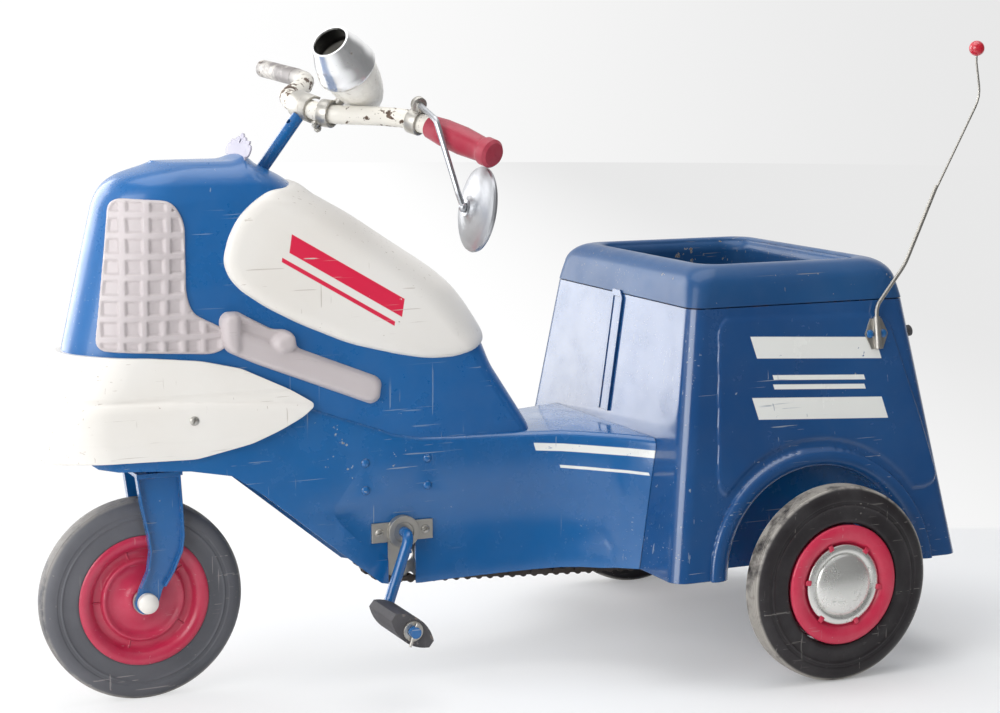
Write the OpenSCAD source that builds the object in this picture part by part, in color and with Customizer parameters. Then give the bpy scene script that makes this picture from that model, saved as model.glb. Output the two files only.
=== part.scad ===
// Police pedal cycle: a chain-driven child's three-wheeler with a patrol box.
// Millimetres. +X runs to the rear, +Y to the rider's right, +Z up from the ground.
// Every place is measured from the ground point under the rear axle, and the
// whole model is then moved so that its origin lies under the middle of its box.

/* [Wheels and tyres] */
// Outer diameter of all three tyres
tyre_d = 203.2; // [190:0.2:212]
// Width of a solid rubber tyre
tyre_w = 30; // [24:1:36]
// Diameter of the pressed rim that carries the tyre
rim_d = 126; // [110:1:140]
// Distance from the rear axle to the front axle
wheelbase = 667; // [640:1:700]
// Distance from the middle plane to the middle of a rear tyre
rear_track_half = 228; // [224:1:240]
// Diameter of the front and the rear axle
axle_d = 12.7; // [10:0.1:14]
// Diameter of a rear hubcap
hubcap_d = 80; // [70:1:90]
// Height of the hubcap's dome over its rim
hubcap_rise = 9; // [6:0.5:14]

/* [Frame] */
// Half of the width of the frame channel between the pedals
frame_half = 61; // [56:1:66]
// Thickness of the pressed frame sheet
frame_wall = 2; // [1.5:0.1:3]
// Height of the seat deck over the ground
deck_z = 250; // [244:1:256]
// Radius of the rolled edge along the seat deck
deck_edge_r = 9; // [6:1:14]
// Half of the width of the deck where it meets the box
deck_flare_half = 126; // [110:1:134]
// Depth of the recessed panel pressed into each frame side
panel_depth = 2; // [0:0.5:3]

/* [Steering] */
// Height at which the steering axis leaves the cowl
head_top_z = 532; // [524:1:540]
// Distance along the cycle from the fork crown back to that point
head_back = 121; // [110:1:130]
// Height of the fork crown's top
crown_z = 232; // [228:1:236]
// Distance along the cycle from the front axle back to the fork crown
crown_back = 14; // [10:1:18]
// Diameter of the steering post
post_d = 12.7; // [10:0.1:14]
// Angle at which the bent top of the post leans back
post_lean = 37; // [30:1:44]
// Diameter of the handlebar tube
bar_d = 19; // [16:1:22]
// Reach of each half of the handlebar to the side
bar_half = 204; // [185:1:215]
// Angle by which the handlebar is turned in its clamp
bar_turn = 17.7; // [0:0.1:20]
// Clear space between a fork blade and the tyre
fork_gap = 6; // [4:0.5:9]

/* [Cowl and covers] */
// Wall of the moulded cowl and its covers
cowl_wall = 2.5; // [2:0.1:3.5]
// Half of the width of the cowl at the tank
cowl_half = 58; // [54:0.5:60]
// Rise of the tank cover over the cowl
tank_rise = 5; // [3:0.5:8]
// Rise of the grille panel over the cowl
grille_rise = 3; // [2.4:0.2:4]
// Side of one square dimple of the grille
dimple = 14.5; // [10:0.5:16]
// Pitch of the dimples
dimple_pitch = 19.7; // [18:0.1:22]
// Depth of a dimple
dimple_depth = 1.8; // [1:0.1:2]
// Half of the width of the front fairing
fairing_half = 69; // [67:0.5:74]

/* [Patrol box] */
// Height of the box's bottom edge over the ground
box_z = 109; // [105:1:114]
// Height of the seam between the box and its rolled rim
seam_z = 382; // [370:1:394]
// Height of the rim's top
rim_z = 422; // [412:1:430]
// Half of the box's width at its bottom edge
box_half_low = 202; // [196:1:206]
// Half of the box's width at the seam
box_half_high = 162; // [156:1:168]
// Reach of the box ahead of the rear axle at its bottom edge
box_front_low = 173; // [170:1:178]
// Reach of the box ahead of the rear axle at the seam
box_front_high = 135; // [130:1:140]
// Reach of the box behind the rear axle at its bottom edge
box_rear_low = 171; // [166:1:176]
// Reach of the box behind the rear axle at the seam
box_rear_high = 122; // [116:1:128]
// Sheet thickness of the box
box_wall = 2; // [1.5:0.1:3]
// Radius of the box's upright corners
box_corner_r = 16; // [10:1:22]
// Width of the rolled rim
rim_w = 34; // [28:1:40]
// Height of the tub's floor over the ground
tub_floor_z = 246; // [242:1:260]
// Radius of the wheel arch openings
arch_r = 113; // [110:1:116]
// Width of the rounded bead round each wheel arch
arch_bead_w = 19; // [14:1:24]
// Rise of that bead over the box side
arch_bead_rise = 6; // [3:0.5:8]
// Depth of each wheel well inside the box
well_depth = 44; // [36:1:50]

/* [Chain drive] */
// Teeth of the crank's chain wheel
crank_teeth = 26; // [22:1:28]
// Teeth of the rear sprocket
rear_teeth = 9; // [8:1:12]
// Pitch of the roller chain
chain_pitch = 12.7; // [12.7:0.1:12.7]
// Height of the crank axle over the ground
crank_z = 158; // [154:1:162]
// Place of the crank axle ahead of the rear axle, at the wheelbase that the outlines are drawn for
crank_place = 411; // [408:1:414]
// Distance of the chain from the middle plane
chain_y = 45; // [40:1:47]
// Diameter of the bent crank rod
crank_d = 11.1; // [10:0.1:12.7]
// Throw of each crank arm
crank_throw = 82; // [76:1:88]
// Angle of the left arm ahead of straight down
crank_rest = 19; // [0:1:30]
// Distance of the crank arms from the middle plane
arm_y = 82; // [80:1:86]

/* [Pedals] */
// Length of a rubber pedal block along its pin
pedal_l = 62; // [50:1:70]
// Width of a pedal block
pedal_w = 58; // [46:1:66]
// Thickness of a pedal block
pedal_t = 26; // [20:1:30]
// Tilt of the left pedal, its rear edge down
pedal_tilt = 38; // [0:1:60]

/* [Lamp, mirror and antenna] */
// Largest diameter of the lamp
lamp_d = 60; // [56:1:64]
// Length of the lamp
lamp_l = 104; // [90:1:116]
// Diameter of the lamp's open mouth
mouth_d = 37; // [30:1:44]
// Diameter of the mirror
mirror_d = 83; // [70:1:90]
// Diameter of the mirror's rod
mirror_rod_d = 6; // [5:0.5:7]
// Diameter of the antenna wire
antenna_d = 2.4; // [2:0.1:3.2]
// Diameter of the ball on the antenna
antenna_ball_d = 16; // [12:1:20]
// Height of the middle of that ball over the ground
antenna_top_z = 642; // [620:1:660]

/* [Hidden] */
$fn = 48;
blue = [0.07, 0.23, 0.55];
white = [0.90, 0.88, 0.83];
grey = [0.74, 0.72, 0.73];
red = [0.78, 0.05, 0.18];
black = [0.07, 0.07, 0.08];
zinc = [0.66, 0.64, 0.60];
chrome = [0.82, 0.83, 0.84];
// Gap left between pieces that only lie against each other
seat = 0.3;
// Radial clearance of a shaft in its bore
run = 0.05;
wheel_r = tyre_d / 2;
axle_r = axle_d / 2;
// Distance of a fork blade's inner face from the middle plane, and its thickness
blade_in = tyre_w / 2 + fork_gap;
blade_t = 3;
// The outlines ahead of the box are drawn for one wheelbase and box front, and stretched to those set above
drawn_wheelbase = 667;
drawn_front = 173;
stretch = (wheelbase - box_front_low) / (drawn_wheelbase - drawn_front);
function fore(x) = -box_front_low + (x + drawn_front) * stretch;
// The same for a list of places on the side view, and for a list of [height, place]
function fore_points(p) = [for (q = p) [fore(q[0]), q[1]]];
function fore_lines(p) = [for (q = p) [q[0], fore(q[1])]];
nose_reach = -fore(-777);
crank_x = -fore(-crank_place);
crown_x = wheelbase - crown_back;
head_top_x = crown_x - head_back;
antenna_x = 185;
rear_reach = antenna_x + antenna_ball_d / 2;
mid_x = (rear_reach - nose_reach) / 2;
box_taper = 1 / (seam_z - box_z);
function frac(z) = (z - box_z) * box_taper;
function box_front(z) = -box_front_low + (box_front_low - box_front_high) * frac(z);
function box_rear(z) = box_rear_low - (box_rear_low - box_rear_high) * frac(z);
function box_side(z) = box_half_low - (box_half_low - box_half_high) * frac(z);
side_lean = atan((box_half_low - box_half_high) * box_taper);
front_lean = atan((box_front_low - box_front_high) * box_taper);
rear_lean = atan((box_rear_low - box_rear_high) * box_taper);

// Points of an arc, from one angle to another
function arc(c, r, a0, a1, n) = [for (i = [0:n]) let (a = a0 + (a1 - a0) * i / n)
    c + r * [cos(a), sin(a)]];
function unit(v) = v / norm(v);
// A route whose corners are rounded by short curves that start at the given distance
function rounded_route(p, d, n) = concat([p[0]], [for (i = [1:len(p) - 2])
    let (a = p[i] - unit(p[i] - p[i - 1]) * d, b = p[i] + unit(p[i + 1] - p[i]) * d)
    for (k = [0:n]) let (t = k / n) a * (1 - t) * (1 - t) + p[i] * 2 * t * (1 - t) + b * t * t],
    [p[len(p) - 1]]);
// A closed skin through rings that all have the same number of points. A sheet's rings run
// along its outside and back along its inside, and their ends are closed by strips.
module loft(rings, sheet = false) {
    n = len(rings[0]);
    m = len(rings);
    function cap() = sheet ? [for (i = [0:n / 2 - 2]) each [[i, i + 1, n - 2 - i], [i, n - 2 - i,
        n - 1 - i]]]
        : [[for (j = [0:n - 1]) j]];
    polyhedron(
        points = [for (ring = rings) each ring],
        faces = concat(cap(),
            [for (i = [0:m - 2]) for (j = [0:n - 1]) let (k = (j + 1) % n)
                each [[i * n + j, (i + 1) * n + j, (i + 1) * n + k], [i * n + j, (i + 1) * n + k,
                    i * n + k]]],
            [for (f = cap()) [for (j = [len(f) - 1:-1:0]) (m - 1) * n + f[j]]]),
        convexity = 6);
}
// A round rod of radius r along a route, with its rings square to it
module rod(route, r, sides = 12, up = [0.13, 0.2, 1]) {
    last = len(route) - 1;
    loft([for (i = [0:last])
        let (t = unit(route[min(i + 1, last)] - route[max(i - 1, 0)]),
            u = unit(cross(up, t)), v = cross(t, u))
        [for (j = [0:sides - 1]) let (a = 360 * j / sides) route[i] + r * (u * cos(a) + v * sin(a))]]);
}
// Turns the vertical so that it runs from a to b, starting part of the way along
module along(a, b, t = 0) let (u = unit(b - a)) translate(a + (b - a) * t)
    rotate([0, acos(u[2]), atan2(u[1], u[0])]) children();
// A true round bar between two points
module bar_between(a, b, r) along(a, b) cylinder(r = r, h = norm(b - a));
// Moves everything from the rear axle's frame to the part's own origin
module place() translate([-mid_x, 0, 0]) children();
// Puts a flat drawing on the left side, standing out from the given distance
module on_left(y) translate([0, -y, 0]) rotate([90, 0, 0]) children();
module both_sides() {
    children();
    mirror([0, 1, 0]) children();
}
// A round bar across the cycle between two distances from the middle plane
module across(x, z, r, y0, y1) translate([x, y0, z]) rotate([-90, 0, 0]) cylinder(r = r, h = y1 - y0);

// Frame: one pressed channel, open below, with a rolled deck edge
// Each station is [place, bottom, top, half width, panel foot, panel head, panel depth, rear slant]
drawn_stations = [
    [-734, 268, 300, 20, 276, 286, 0, 0], [-730, 252, 312, 38, 270, 290, 0, 0],
    [-718, 244, 320, 50, 262, 290, 0, 0], [-700, 241, 327, 57, 262, 292, 0, 0],
    [-670, 240, 330, frame_half - 1, 262, 292, 0, 0], [-630, 237, 328, frame_half - 1, 260, 290, 0, 0],
    [-588, 229, 320, frame_half, 252, 284, 0, 0], [-558, 208, 311, frame_half, 236, 270, 0, 0],
    [-530, 185, 301, frame_half, 210, 250, 0, 0], [-484, 147, 284, frame_half, 180, 188, 0, 0],
    [-478, 142, 282, frame_half, 174, 189, panel_depth, 0],
    [-450, 119, 272, frame_half, 145, 190, panel_depth, 0],
    [-434, 106, 266, frame_half, 136, 191, panel_depth, 0],
    [-420, 103, 260, frame_half, 125, 192, panel_depth, 0],
    [-390, 102, 254, frame_half, 126, 192, panel_depth, 0],
    [-350, 103, deck_z + 2, frame_half, 128, 191, panel_depth, 0],
    [-300, 104, deck_z + 1, frame_half + 2, 131, 190, panel_depth, 0],
    [-265, 105, deck_z, frame_half + 6, 133, 188, panel_depth, 0],
    [-239, 106, deck_z, 74 + frame_half - 61, 133, 187, panel_depth, 0.1],
    [-220, 107, deck_z - 1, 86 + frame_half - 61, 132, 186, panel_depth, 0.3],
    [-204, 107, deck_z - 2, 98 + (deck_flare_half - 126) / 2, 131, 185, panel_depth, 0.5],
    [-190, 108, deck_z - 3, 108 + (deck_flare_half - 126) / 2, 130, 184, 0, 0.7],
    [-drawn_front - seat, box_z, deck_z - 5, deck_flare_half, 130, 184, 0, 1]];
frame_stations = [for (s = drawn_stations) concat([fore(s[0])], [for (i = [1:7]) s[i]])];
// Half of one section, from the bottom edge up to the middle of the deck, drawn in by a wall
function channel_half(s, w) = let (h = s[3] - w, top = s[2] - w, r = max(deck_edge_r - w, 1)) concat(
    [[-h, s[1]], [-h, s[4] - 2], [-h + s[6], s[4] + 2], [-h + s[6], s[5] - 2], [-h, s[5] + 2]],
    arc([-h + r, top - r], r, 180, 90, 4));
function mirrored(p) = [for (i = [len(p) - 1:-1:0]) [-p[i][0], p[i][1]]];
function channel_section(s) = let (o = channel_half(s, 0), n = channel_half(s, frame_wall))
    [for (q = concat(o, mirrored(o), [for (i = [len(o) * 2 - 1:-1:0]) concat(n, mirrored(n))[i]]))
        [s[0] + s[7] * (q[1] - box_z) * tan(front_lean), -q[0], q[1]]];
frame_top = [for (s = frame_stations) [s[0], s[2]]];
crank_slot_r = 15;
module frame_shell() color(blue) place() difference() {
    loft([for (s = frame_stations) channel_section(s)], true);
    // slots that let the crank in from below
    both_sides() across(-crank_x, crank_z, crank_slot_r, -frame_half - 4, -frame_half + 8);
    both_sides() translate([-crank_x - crank_slot_r, -frame_half - 4, box_z - 20])
        cube([crank_slot_r * 2, 12, crank_z - box_z + 20]);
    // hole in the deck for the steering post
    on_steering_axis() translate([0, 0, head_from + head_l + 4]) cylinder(r = post_d / 2 + 4, h = 60);
    // holes for the rivets and screws
    both_sides() {
        for (x = brace_x, z = brace_z) across(-x, z, rivet_r, -frame_half - 4, -frame_half + 8);
        for (t = [-1, 1]) across(-crank_x + t * hanger_pitch, crank_z, screw_r + run, -frame_half - 4,
            -frame_half + 8);
        across(-fairing_screw[0], fairing_screw[1], screw_r + run, -frame_half - 4, -frame_half + 8);
    }
}
// Cross brace: a bent plate riveted between the two frame sides ahead of the crank
brace_x = [-fore(-450), -fore(-383)];
brace_z = [203, 231];
brace_top = brace_z[1] + 8;
brace_foot = brace_z[0] - 8;
module cross_brace() color(blue) place() {
    inner = frame_half - frame_wall - seat;
    translate([-brace_x[0] - 8, -inner, brace_top - frame_wall])
        cube([brace_x[0] - brace_x[1] + 16, inner * 2, frame_wall]);
    both_sides() difference() {
        translate([-brace_x[0] - 8, -inner, brace_foot])
            cube([brace_x[0] - brace_x[1] + 16, frame_wall, brace_top - brace_foot]);
        for (x = brace_x, z = brace_z) across(-x, z, rivet_r, -inner - 1, -inner + frame_wall + 1);
    }
}
// Rivets: eight through the frame sides and two on the antenna bracket
rivet_r = 2.4;
rivet_head_r = 4.6;
rivet_dome = 2.2;
module rivet(length) {
    dome_r = (rivet_head_r * rivet_head_r + rivet_dome * rivet_dome) / (2 * rivet_dome);
    cylinder(r = rivet_r - run, h = length);
    intersection() {
        translate([0, 0, dome_r - rivet_dome]) sphere(r = dome_r);
        mirror([0, 0, 1]) cylinder(r = rivet_head_r, h = rivet_dome);
    }
}
module rivets() color(blue) place() {
    both_sides() for (x = brace_x, z = brace_z)
        translate([-x, -frame_half - run, z]) rotate([-90, 0, 0]) rivet(frame_wall * 2 + seat + 1);
    on_box_side() for (s = [-1, 1]) translate([antenna_u + s * 8, antenna_v,
        bracket_t + panel_rise + seat + run])
        rotate([180, 0, 0]) rivet(bracket_t + panel_rise + box_wall + seat + 1);
}

// Steering head: a tube welded upright in the frame, raked with the steering axis
head_r = 13;
rake = atan((crown_x - head_top_x) / (head_top_z - crown_z));
head_from = 14;
head_l = 66;
head_plate_y = frame_half - 1 - frame_wall - seat;
module on_steering_axis() translate([-crown_x, 0, crown_z]) rotate([0, rake, 0]) children();
module head_tube() color(blue) place() on_steering_axis() difference() {
    translate([0, 0, head_from]) union() {
        cylinder(r = head_r, h = head_l);
        translate([-30, -head_plate_y, head_l - 8]) cube([60, head_plate_y * 2, frame_wall]);
    }
    translate([0, 0, head_from - 4]) cylinder(r = bush_r, h = head_l + 10);
}
bush_r = 9.5;
bush_l = 14;
module head_bushes() color(zinc) place() on_steering_axis() {
    for (z = [head_from, head_from + head_l - bush_l]) translate([0, 0, z]) difference() {
        cylinder(r = bush_r - run, h = bush_l);
        translate([0, 0, -1]) cylinder(r = post_d / 2 + run, h = bush_l + 2);
    }
}

// Cowl: its nose and tail lines, half width and the length of its rounded ends at each height
cowl_nose = fore_lines([[250, -744], [354, -739], [431, -721], [498, -705], [512, -697], [521, -686],
    [527, -672], [534, -640]]);
cowl_tail = fore_lines([[250, -253], [256, -256], [320, -297], [333, -302], [345, -306], [361, -315],
    [383, -330],
    [403, -346], [421, -368], [449, -411], [479, -456], [497, -488], [505, -501], [514, -512], [524,
        -528], [534, -554]]);
cowl_width = [[250, -1], [300, 0], [420, 1], [470, 1], [499, 0], [514, -4], [524, -11], [529, -18],
    [532, -25], [534, -33]];
cowl_front_round = [[250, 65], [500, 65], [534, 44]];
cowl_back_round = [[250, 24], [330, 32], [360, 46], [420, 60], [500, 60], [534, 26]];
cowl_levels = [236, 256, 320, 345, 361, 403, 449, 479, 499, 514, 524, 530, 534];
function cowl_w(z) = cowl_half + lookup(z, cowl_width);
// Half of a level's outline, from the middle of the nose round the left side to the middle of the tail
function cowl_line(z, g) = let (n = lookup(z, cowl_nose) - g, t = lookup(z, cowl_tail) + g,
    w = cowl_w(z) + g,
    a = lookup(z, cowl_front_round) * stretch + g, b = lookup(z, cowl_back_round) * stretch + g)
    concat([for (i = [0:6]) [n + a * (1 - cos(15 * i)), -w * sin(15 * i)]],
        [for (i = [0:6]) [t - b + b * sin(15 * i), -w * cos(15 * i)]]);
module cowl_solid(g, past) loft([for (z = cowl_levels)
    [for (p = concat([[lookup(z, cowl_nose) - g, past]], cowl_line(z, g), [[lookup(z, cowl_tail) + g,
        past]]))
        [p[0], p[1], z + (z > 500 ? g * (z - 500) / 34 : 0)]]]);
// The cowl's foot follows the deck of the frame, on which it stands
foot_lap = 0.05;
cowl_foot = concat(fore_points([[-800, 200], [-200, 200], [-200, deck_z + foot_lap]]),
    [for (i = [len(frame_top) - 1:-1:0]) if (frame_top[i][0] < fore(-260) && frame_top[i][0] > fore(-710))
        frame_top[i] + [0, foot_lap]],
    fore_points([[-800, 330]]));
module cowl_half() difference() {
    cowl_solid(0, 0);
    cowl_solid(-cowl_wall, 1);
    on_left(-2) linear_extrude(100) polygon(cowl_foot);
    // mouth for the steering post
    on_steering_axis() translate([0, 0, 260]) cylinder(r = 12, h = 80);
}
module cowl_left() color(blue) place() cowl_half();
module cowl_right() color(blue) place() mirror([0, 1, 0]) cowl_half();

// Tank cover: two layers of the cowl's own shape, the lower one a little wider
tank_outline = fore_points(concat([[-540, 560], [-540, 513], [-556, 501], [-576, 484]],
    arc([-551, 439], 43, 143, 215, 5),
    [[-574, 408], [-552, 393], [-517, 374], [-465, 352], [-412, 339], [-376, 333], [-348, 334], [-326, 341],
        [-290, 345], [-290, 560]]));
tank_edge = 4;
module tank_half() difference() {
    union() {
        for (i = [0, 1]) intersection() {
            cowl_solid(tank_rise - 2 * (1 - i), 0);
            on_left(0) linear_extrude(100) offset(delta = -tank_edge * i) polygon(tank_outline);
        }
    }
    cowl_solid(seat, 1);
    on_steering_axis() translate([0, 0, 260]) cylinder(r = 14, h = 90);
}
module tank_left() color(white) place() tank_half();
module tank_right() color(white) place() mirror([0, 1, 0]) tank_half();

// Grille: a dimpled panel on each side of the nose
grille_outline = fore_points([[-716, 362], [-712, 355], [-700, 354], [-601, 350], [-601, 378],
    [-622, 389], [-630, 408], [-630, 478], [-634, 492], [-642, 499], [-690, 504], [-697, 500]]);
dimple_rows = 8;
dimple_columns = 7;
dimple_place = [fore(-699), 359];
dimple_lean = 3.5;
// The squares of the dimples, in rows that lean with the nose and stop short of the outline
module dimple_squares() for (row = [0:dimple_rows - 1], col = [0:dimple_columns - 1])
    let (z = dimple_place[1] + dimple_pitch * row,
        x = dimple_place[0] + dimple_pitch * (col + (row - dimple_rows / 2) * tan(dimple_lean)))
    if (x + dimple / 2 < fore(row < 2 ? -577 : -630)) translate([x, z]) square(dimple, center = true);
module grille_half() difference() {
    union() {
        intersection() {
            cowl_solid(grille_rise, 0);
            on_left(20) linear_extrude(60) difference() {
                polygon(grille_outline);
                dimple_squares();
            }
        }
        intersection() {
            cowl_solid(grille_rise - dimple_depth, 0);
            on_left(20) linear_extrude(60) polygon(grille_outline);
        }
    }
    cowl_solid(seat, 1);
}
module grille_left() color(grey) place() grille_half();
module grille_right() color(grey) place() mirror([0, 1, 0]) grille_half();

// Engine moulding: two lugs and a long tapering bar down the side of the cowl
engine_bar = fore_points([[-598, 364], [-592, 352], [-562, 338], [-442, 290], [-434, 294], [-431, 312],
    [-436, 317],
    [-560, 368], [-590, 378]]);
engine_lug = fore_points([[-599, 362], [-599, 386], [-594, 391], [-578, 391], [-570, 386], [-568, 352]]);
engine_bridge = fore_points([[-572, 384], [-545, 371], [-545, 350], [-572, 350]]);
engine_knob = fore_points([[-547, 366], [-541, 370], [-528, 370], [-522, 364], [-518, 350], [-548, 346]]);
module engine_half() {
    y = cowl_half + 1 + seat;
    on_left(y) linear_extrude(7) polygon(engine_bar);
    on_left(y) linear_extrude(10) offset(delta = -4) polygon(engine_bar);
    on_left(y) linear_extrude(13) polygon(engine_lug);
    on_left(y) linear_extrude(4) polygon(engine_bridge);
    on_left(y) linear_extrude(12) polygon(engine_knob);
}
module engine_left() color(grey) place() engine_half();
module engine_right() color(grey) place() mirror([0, 1, 0]) engine_half();

// Front fairing: a bumper-like cover round the frame's nose, drawn in above a crease
fairing_nose = fore_lines([[240, -752], [252, -768], [268, -775], [280, -777], [296, -775], [308, -769],
    [312, -765], [330, -754], [352, -744]]);
fairing_width = [[240, -6], [252, -3], [268, 0], [280, 0], [300, -0.6], [308, -2], [312, -5], [330,
    -6.2], [352, -7]];
fairing_levels = [240, 252, 268, 280, 296, 308, 312, 330, 352];
fairing_round = 66 * stretch;
fairing_outline = fore_points([[-800, 240], [-738, 251], [-700, 251], [-625, 249], [-570, 261], [-540,
    273], [-518, 284], [-503, 296],
    [-528, 311], [-578, 335], [-618, 344], [-668, 350], [-726, 353], [-800, 354]]);
fairing_end = fore(-480);
function fairing_line(z, g) = let (n = lookup(z, fairing_nose) - g, w = fairing_half + lookup(z,
    fairing_width) + g,
    a = fairing_round + g)
    concat([for (i = [0:9]) [n + a * (1 - cos(10 * i)), -w * sin(10 * i)]], [[fairing_end, -w]]);
module fairing_solid(g, past) loft([for (z = fairing_levels)
    [for (p = concat([[lookup(z, fairing_nose) - g, past]], fairing_line(z, g), [[fairing_end, past]]))
        [p[0], p[1], z]]]);
screw_r = 2.5;
fairing_screw = [-fore(-628), 288];
module fairing_half_shell() difference() {
    intersection() {
        fairing_solid(0, 0);
        on_left(-2) linear_extrude(100) polygon(fairing_outline);
    }
    fairing_solid(-cowl_wall, 1);
    translate([fairing_end - 20, -fairing_half * 2, 200]) cube([60, fairing_half * 4, 200]);
    across(-fairing_screw[0], fairing_screw[1], screw_r + run, -fairing_half - 5, -20);
}
module fairing_left() color(white) place() fairing_half_shell();
module fairing_right() color(white) place() mirror([0, 1, 0]) fairing_half_shell();

// Slotted screws: one through each fairing and two on each crank hanger
module slotted_screw(length) difference() {
    union() {
        translate([0, 0, -length]) cylinder(r = screw_r, h = length);
        intersection() {
            cylinder(r = 4.6, h = 2.4);
            translate([0, 0, -4.4]) sphere(r = 6.8);
        }
    }
    translate([-6, -0.6, 1]) cube([12, 1.2, 3]);
}
module slotted_screws() color(zinc) place() both_sides() {
    on_left(fairing_half) translate([-fairing_screw[0], fairing_screw[1]]) rotate([0, 0, 60])
        slotted_screw(fairing_half - frame_half + frame_wall + 2);
    for (s = [-1, 1]) on_left(hanger_y + hanger_t) translate([-crank_x + s * hanger_pitch, crank_z])
        rotate([0, 0, 25])
        slotted_screw(hanger_t + frame_wall + 4);
}

// Badge plate: a low scalloped plate that stands across the cowl in front of the post
badge_half = 38;
badge_h = 27;
badge_x = -fore(-561);
badge_lean = 18;
cowl_top_z = 534;
module badge_plate() color(grey) place()
    translate([-badge_x, 0, cowl_top_z + seat]) rotate([0, badge_lean, 0]) rotate([90, 0, 90])
        difference() {
        linear_extrude(1.6, center = true) intersection() {
            union() {
                badge_lobes();
                translate([-badge_half + 8, 0]) square([badge_half * 2 - 16, badge_h - 7]);
            }
            translate([-50, 0]) square([100, 60]);
        }
        translate([0, badge_h - 8, -5]) cylinder(r = 2.5, h = 10);
    }
// Seven round lobes along the top of the plate
module badge_lobes() for (i = [-3:3]) translate([i * 11, badge_h - 8 - abs(i) * 3])
    circle(r = 8 - abs(i) * 0.6);

// Patrol box: a tapered wrap of sheet with embossed sides and bead-edged wheel arches
function box_ring(z, g) = let (f = box_front(z) + g, b = box_rear(z) - g, s = box_side(z) - g,
    r = max(box_corner_r - g, 1.5))
    [for (p = concat(arc([b - r, s - r], r, 0, 90, 4), arc([f + r, s - r], r, 90, 180, 4),
        arc([f + r, -s + r], r, 180, 270, 4), arc([b - r, -s + r], r, 270, 360, 4))) [p[0], p[1], z]];
// Places a flat drawing on the leaning left side: u along the cycle, v up the slope
module on_box_side() translate([0, -box_half_low, box_z]) rotate([90 - side_lean, 0, 0]) children();
function up_side(z) = (z - box_z) / cos(side_lean);
panel_rise = 1.6;
panel_outline = [[-97, 371], [84, 366], [96, 356], [130, 252], [146, 196], [140, 187], [128, 182],
    [-100, 190], [-114, 198], [-116, 210], [-106, 360]];
module side_press() {
    // the raised field of the side, which follows the arch at its foot
    on_box_side() translate([0, 0, -0.5]) linear_extrude(panel_rise + 0.5) difference() {
        polygon([for (p = panel_outline) [p[0], up_side(p[1])]]);
        translate([0, up_side(wheel_r)]) circle(r = arch_r + arch_bead_w + 10);
    }
    // the bead round the arch
    intersection() {
        on_box_side() translate([0, up_side(wheel_r), 0]) rotate_extrude($fn = 96)
            translate([arch_r - 3, 0]) polygon(concat([[0, -box_wall / 2]],
                [for (i = [0:6]) let (a = 180 - 30 * i) [(arch_bead_w + 3) / 2 * (1 + cos(a)),
                    1 + (arch_bead_rise - 1) * sin(a)]],
                [[arch_bead_w + 3, -0.5]]));
        translate([-160, -box_half_low - 20, box_z + 1]) cube([320, 60, 160]);
    }
}
module box_shell() color(blue) place() difference() {
    union() {
        difference() {
            loft([for (z = [box_z, seam_z - seat]) box_ring(z, 0)]);
            loft([for (z = [box_z - 1, seam_z + 1]) box_ring(z, box_wall)]);
        }
        both_sides() side_press();
    }
    both_sides() across(0, wheel_r, arch_r, -box_half_low - 20, -box_half_high + 12);
    // hole for each antenna rivet
    on_box_side() for (s = [-1, 1]) translate([antenna_u + s * 8, antenna_v, -5]) cylinder(r = rivet_r,
        h = 9);
    on_button() translate([0, 0, -6]) cylinder(r = button_stem_r + run, h = 12);
    // opening behind the frame for the chain
    translate([-box_front_low - 20, -chain_door / 2, box_z - 10]) cube([60, chain_door, 112]);
}
chain_door = 140;
// Amount by which the tub's floor is smaller all round than its mouth, and the tub's outline lower down
tub_draft = 2;
function tub_ring(z, g) = [for (p = box_ring(rim_z - 14, g)) [p[0], p[1], z]];
// Tub: the rolled rim, the walls and the floor of the box, pressed in one piece
module box_tub() color(blue) place() {
    w = box_wall;
    top = rim_z;
    r = 20;
    outer = [for (a = [0:18:90]) [top - r + r * sin(a), r - r * cos(a)]];
    inner = [for (a = [90:-18:0]) [top - w - (r - w) + (r - w) * sin(a), r - (r - w) * cos(a)]];
    loft(concat(
        [tub_ring(tub_floor_z - w, rim_w + tub_draft)],
        [box_ring(top - 14, rim_w)],
        [box_ring(top - w, rim_w - 8)],
        [for (q = inner) box_ring(q[0], q[1])],
        [box_ring(seam_z, w), box_ring(seam_z, 0)],
        [for (q = outer) box_ring(q[0], q[1])],
        [box_ring(top, rim_w - 6), box_ring(top - 4, rim_w), box_ring(top - 14, rim_w + w)],
        [tub_ring(tub_floor_z, rim_w + tub_draft + w)]));
}
// Strip: the folded lap that closes the wrap on the box's front
strip_w = 24;
strip_y = 0;
module front_strip() color(blue) place()
    translate([box_front(deck_z + 6) - seat, strip_y, deck_z + 6]) rotate([0, front_lean, 0])
        rotate([90, 0, -90])
        difference() {
            linear_extrude(2.2) polygon([[-strip_w / 2, 0], [strip_w / 2, 0], [strip_w / 2, 122],
                [strip_w / 2 - 7, 130], [-strip_w / 2, 130]]);
            translate([-strip_w / 2 + 4, -1, 1.2]) cube([strip_w - 8, 124, 3]);
        }
// Wheel wells: half-round liners behind the arches
module well_half() intersection() {
    difference() {
        across(0, wheel_r, arch_r + 2, -box_half_low, -box_side(wheel_r) + well_depth + 2);
        across(0, wheel_r, arch_r, -box_half_low - 1, -box_side(wheel_r) + well_depth);
        across(0, wheel_r, axle_r + 6, -box_half_low, -100);
        translate([-150, -box_half_low - 1, 0]) cube([300, 100, box_z]);
    }
    loft([for (z = [box_z, seam_z]) box_ring(z, box_wall + seat)]);
}
module wheel_well_left() color(blue) place() well_half();
module wheel_well_right() color(blue) place() mirror([0, 1, 0]) well_half();
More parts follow.
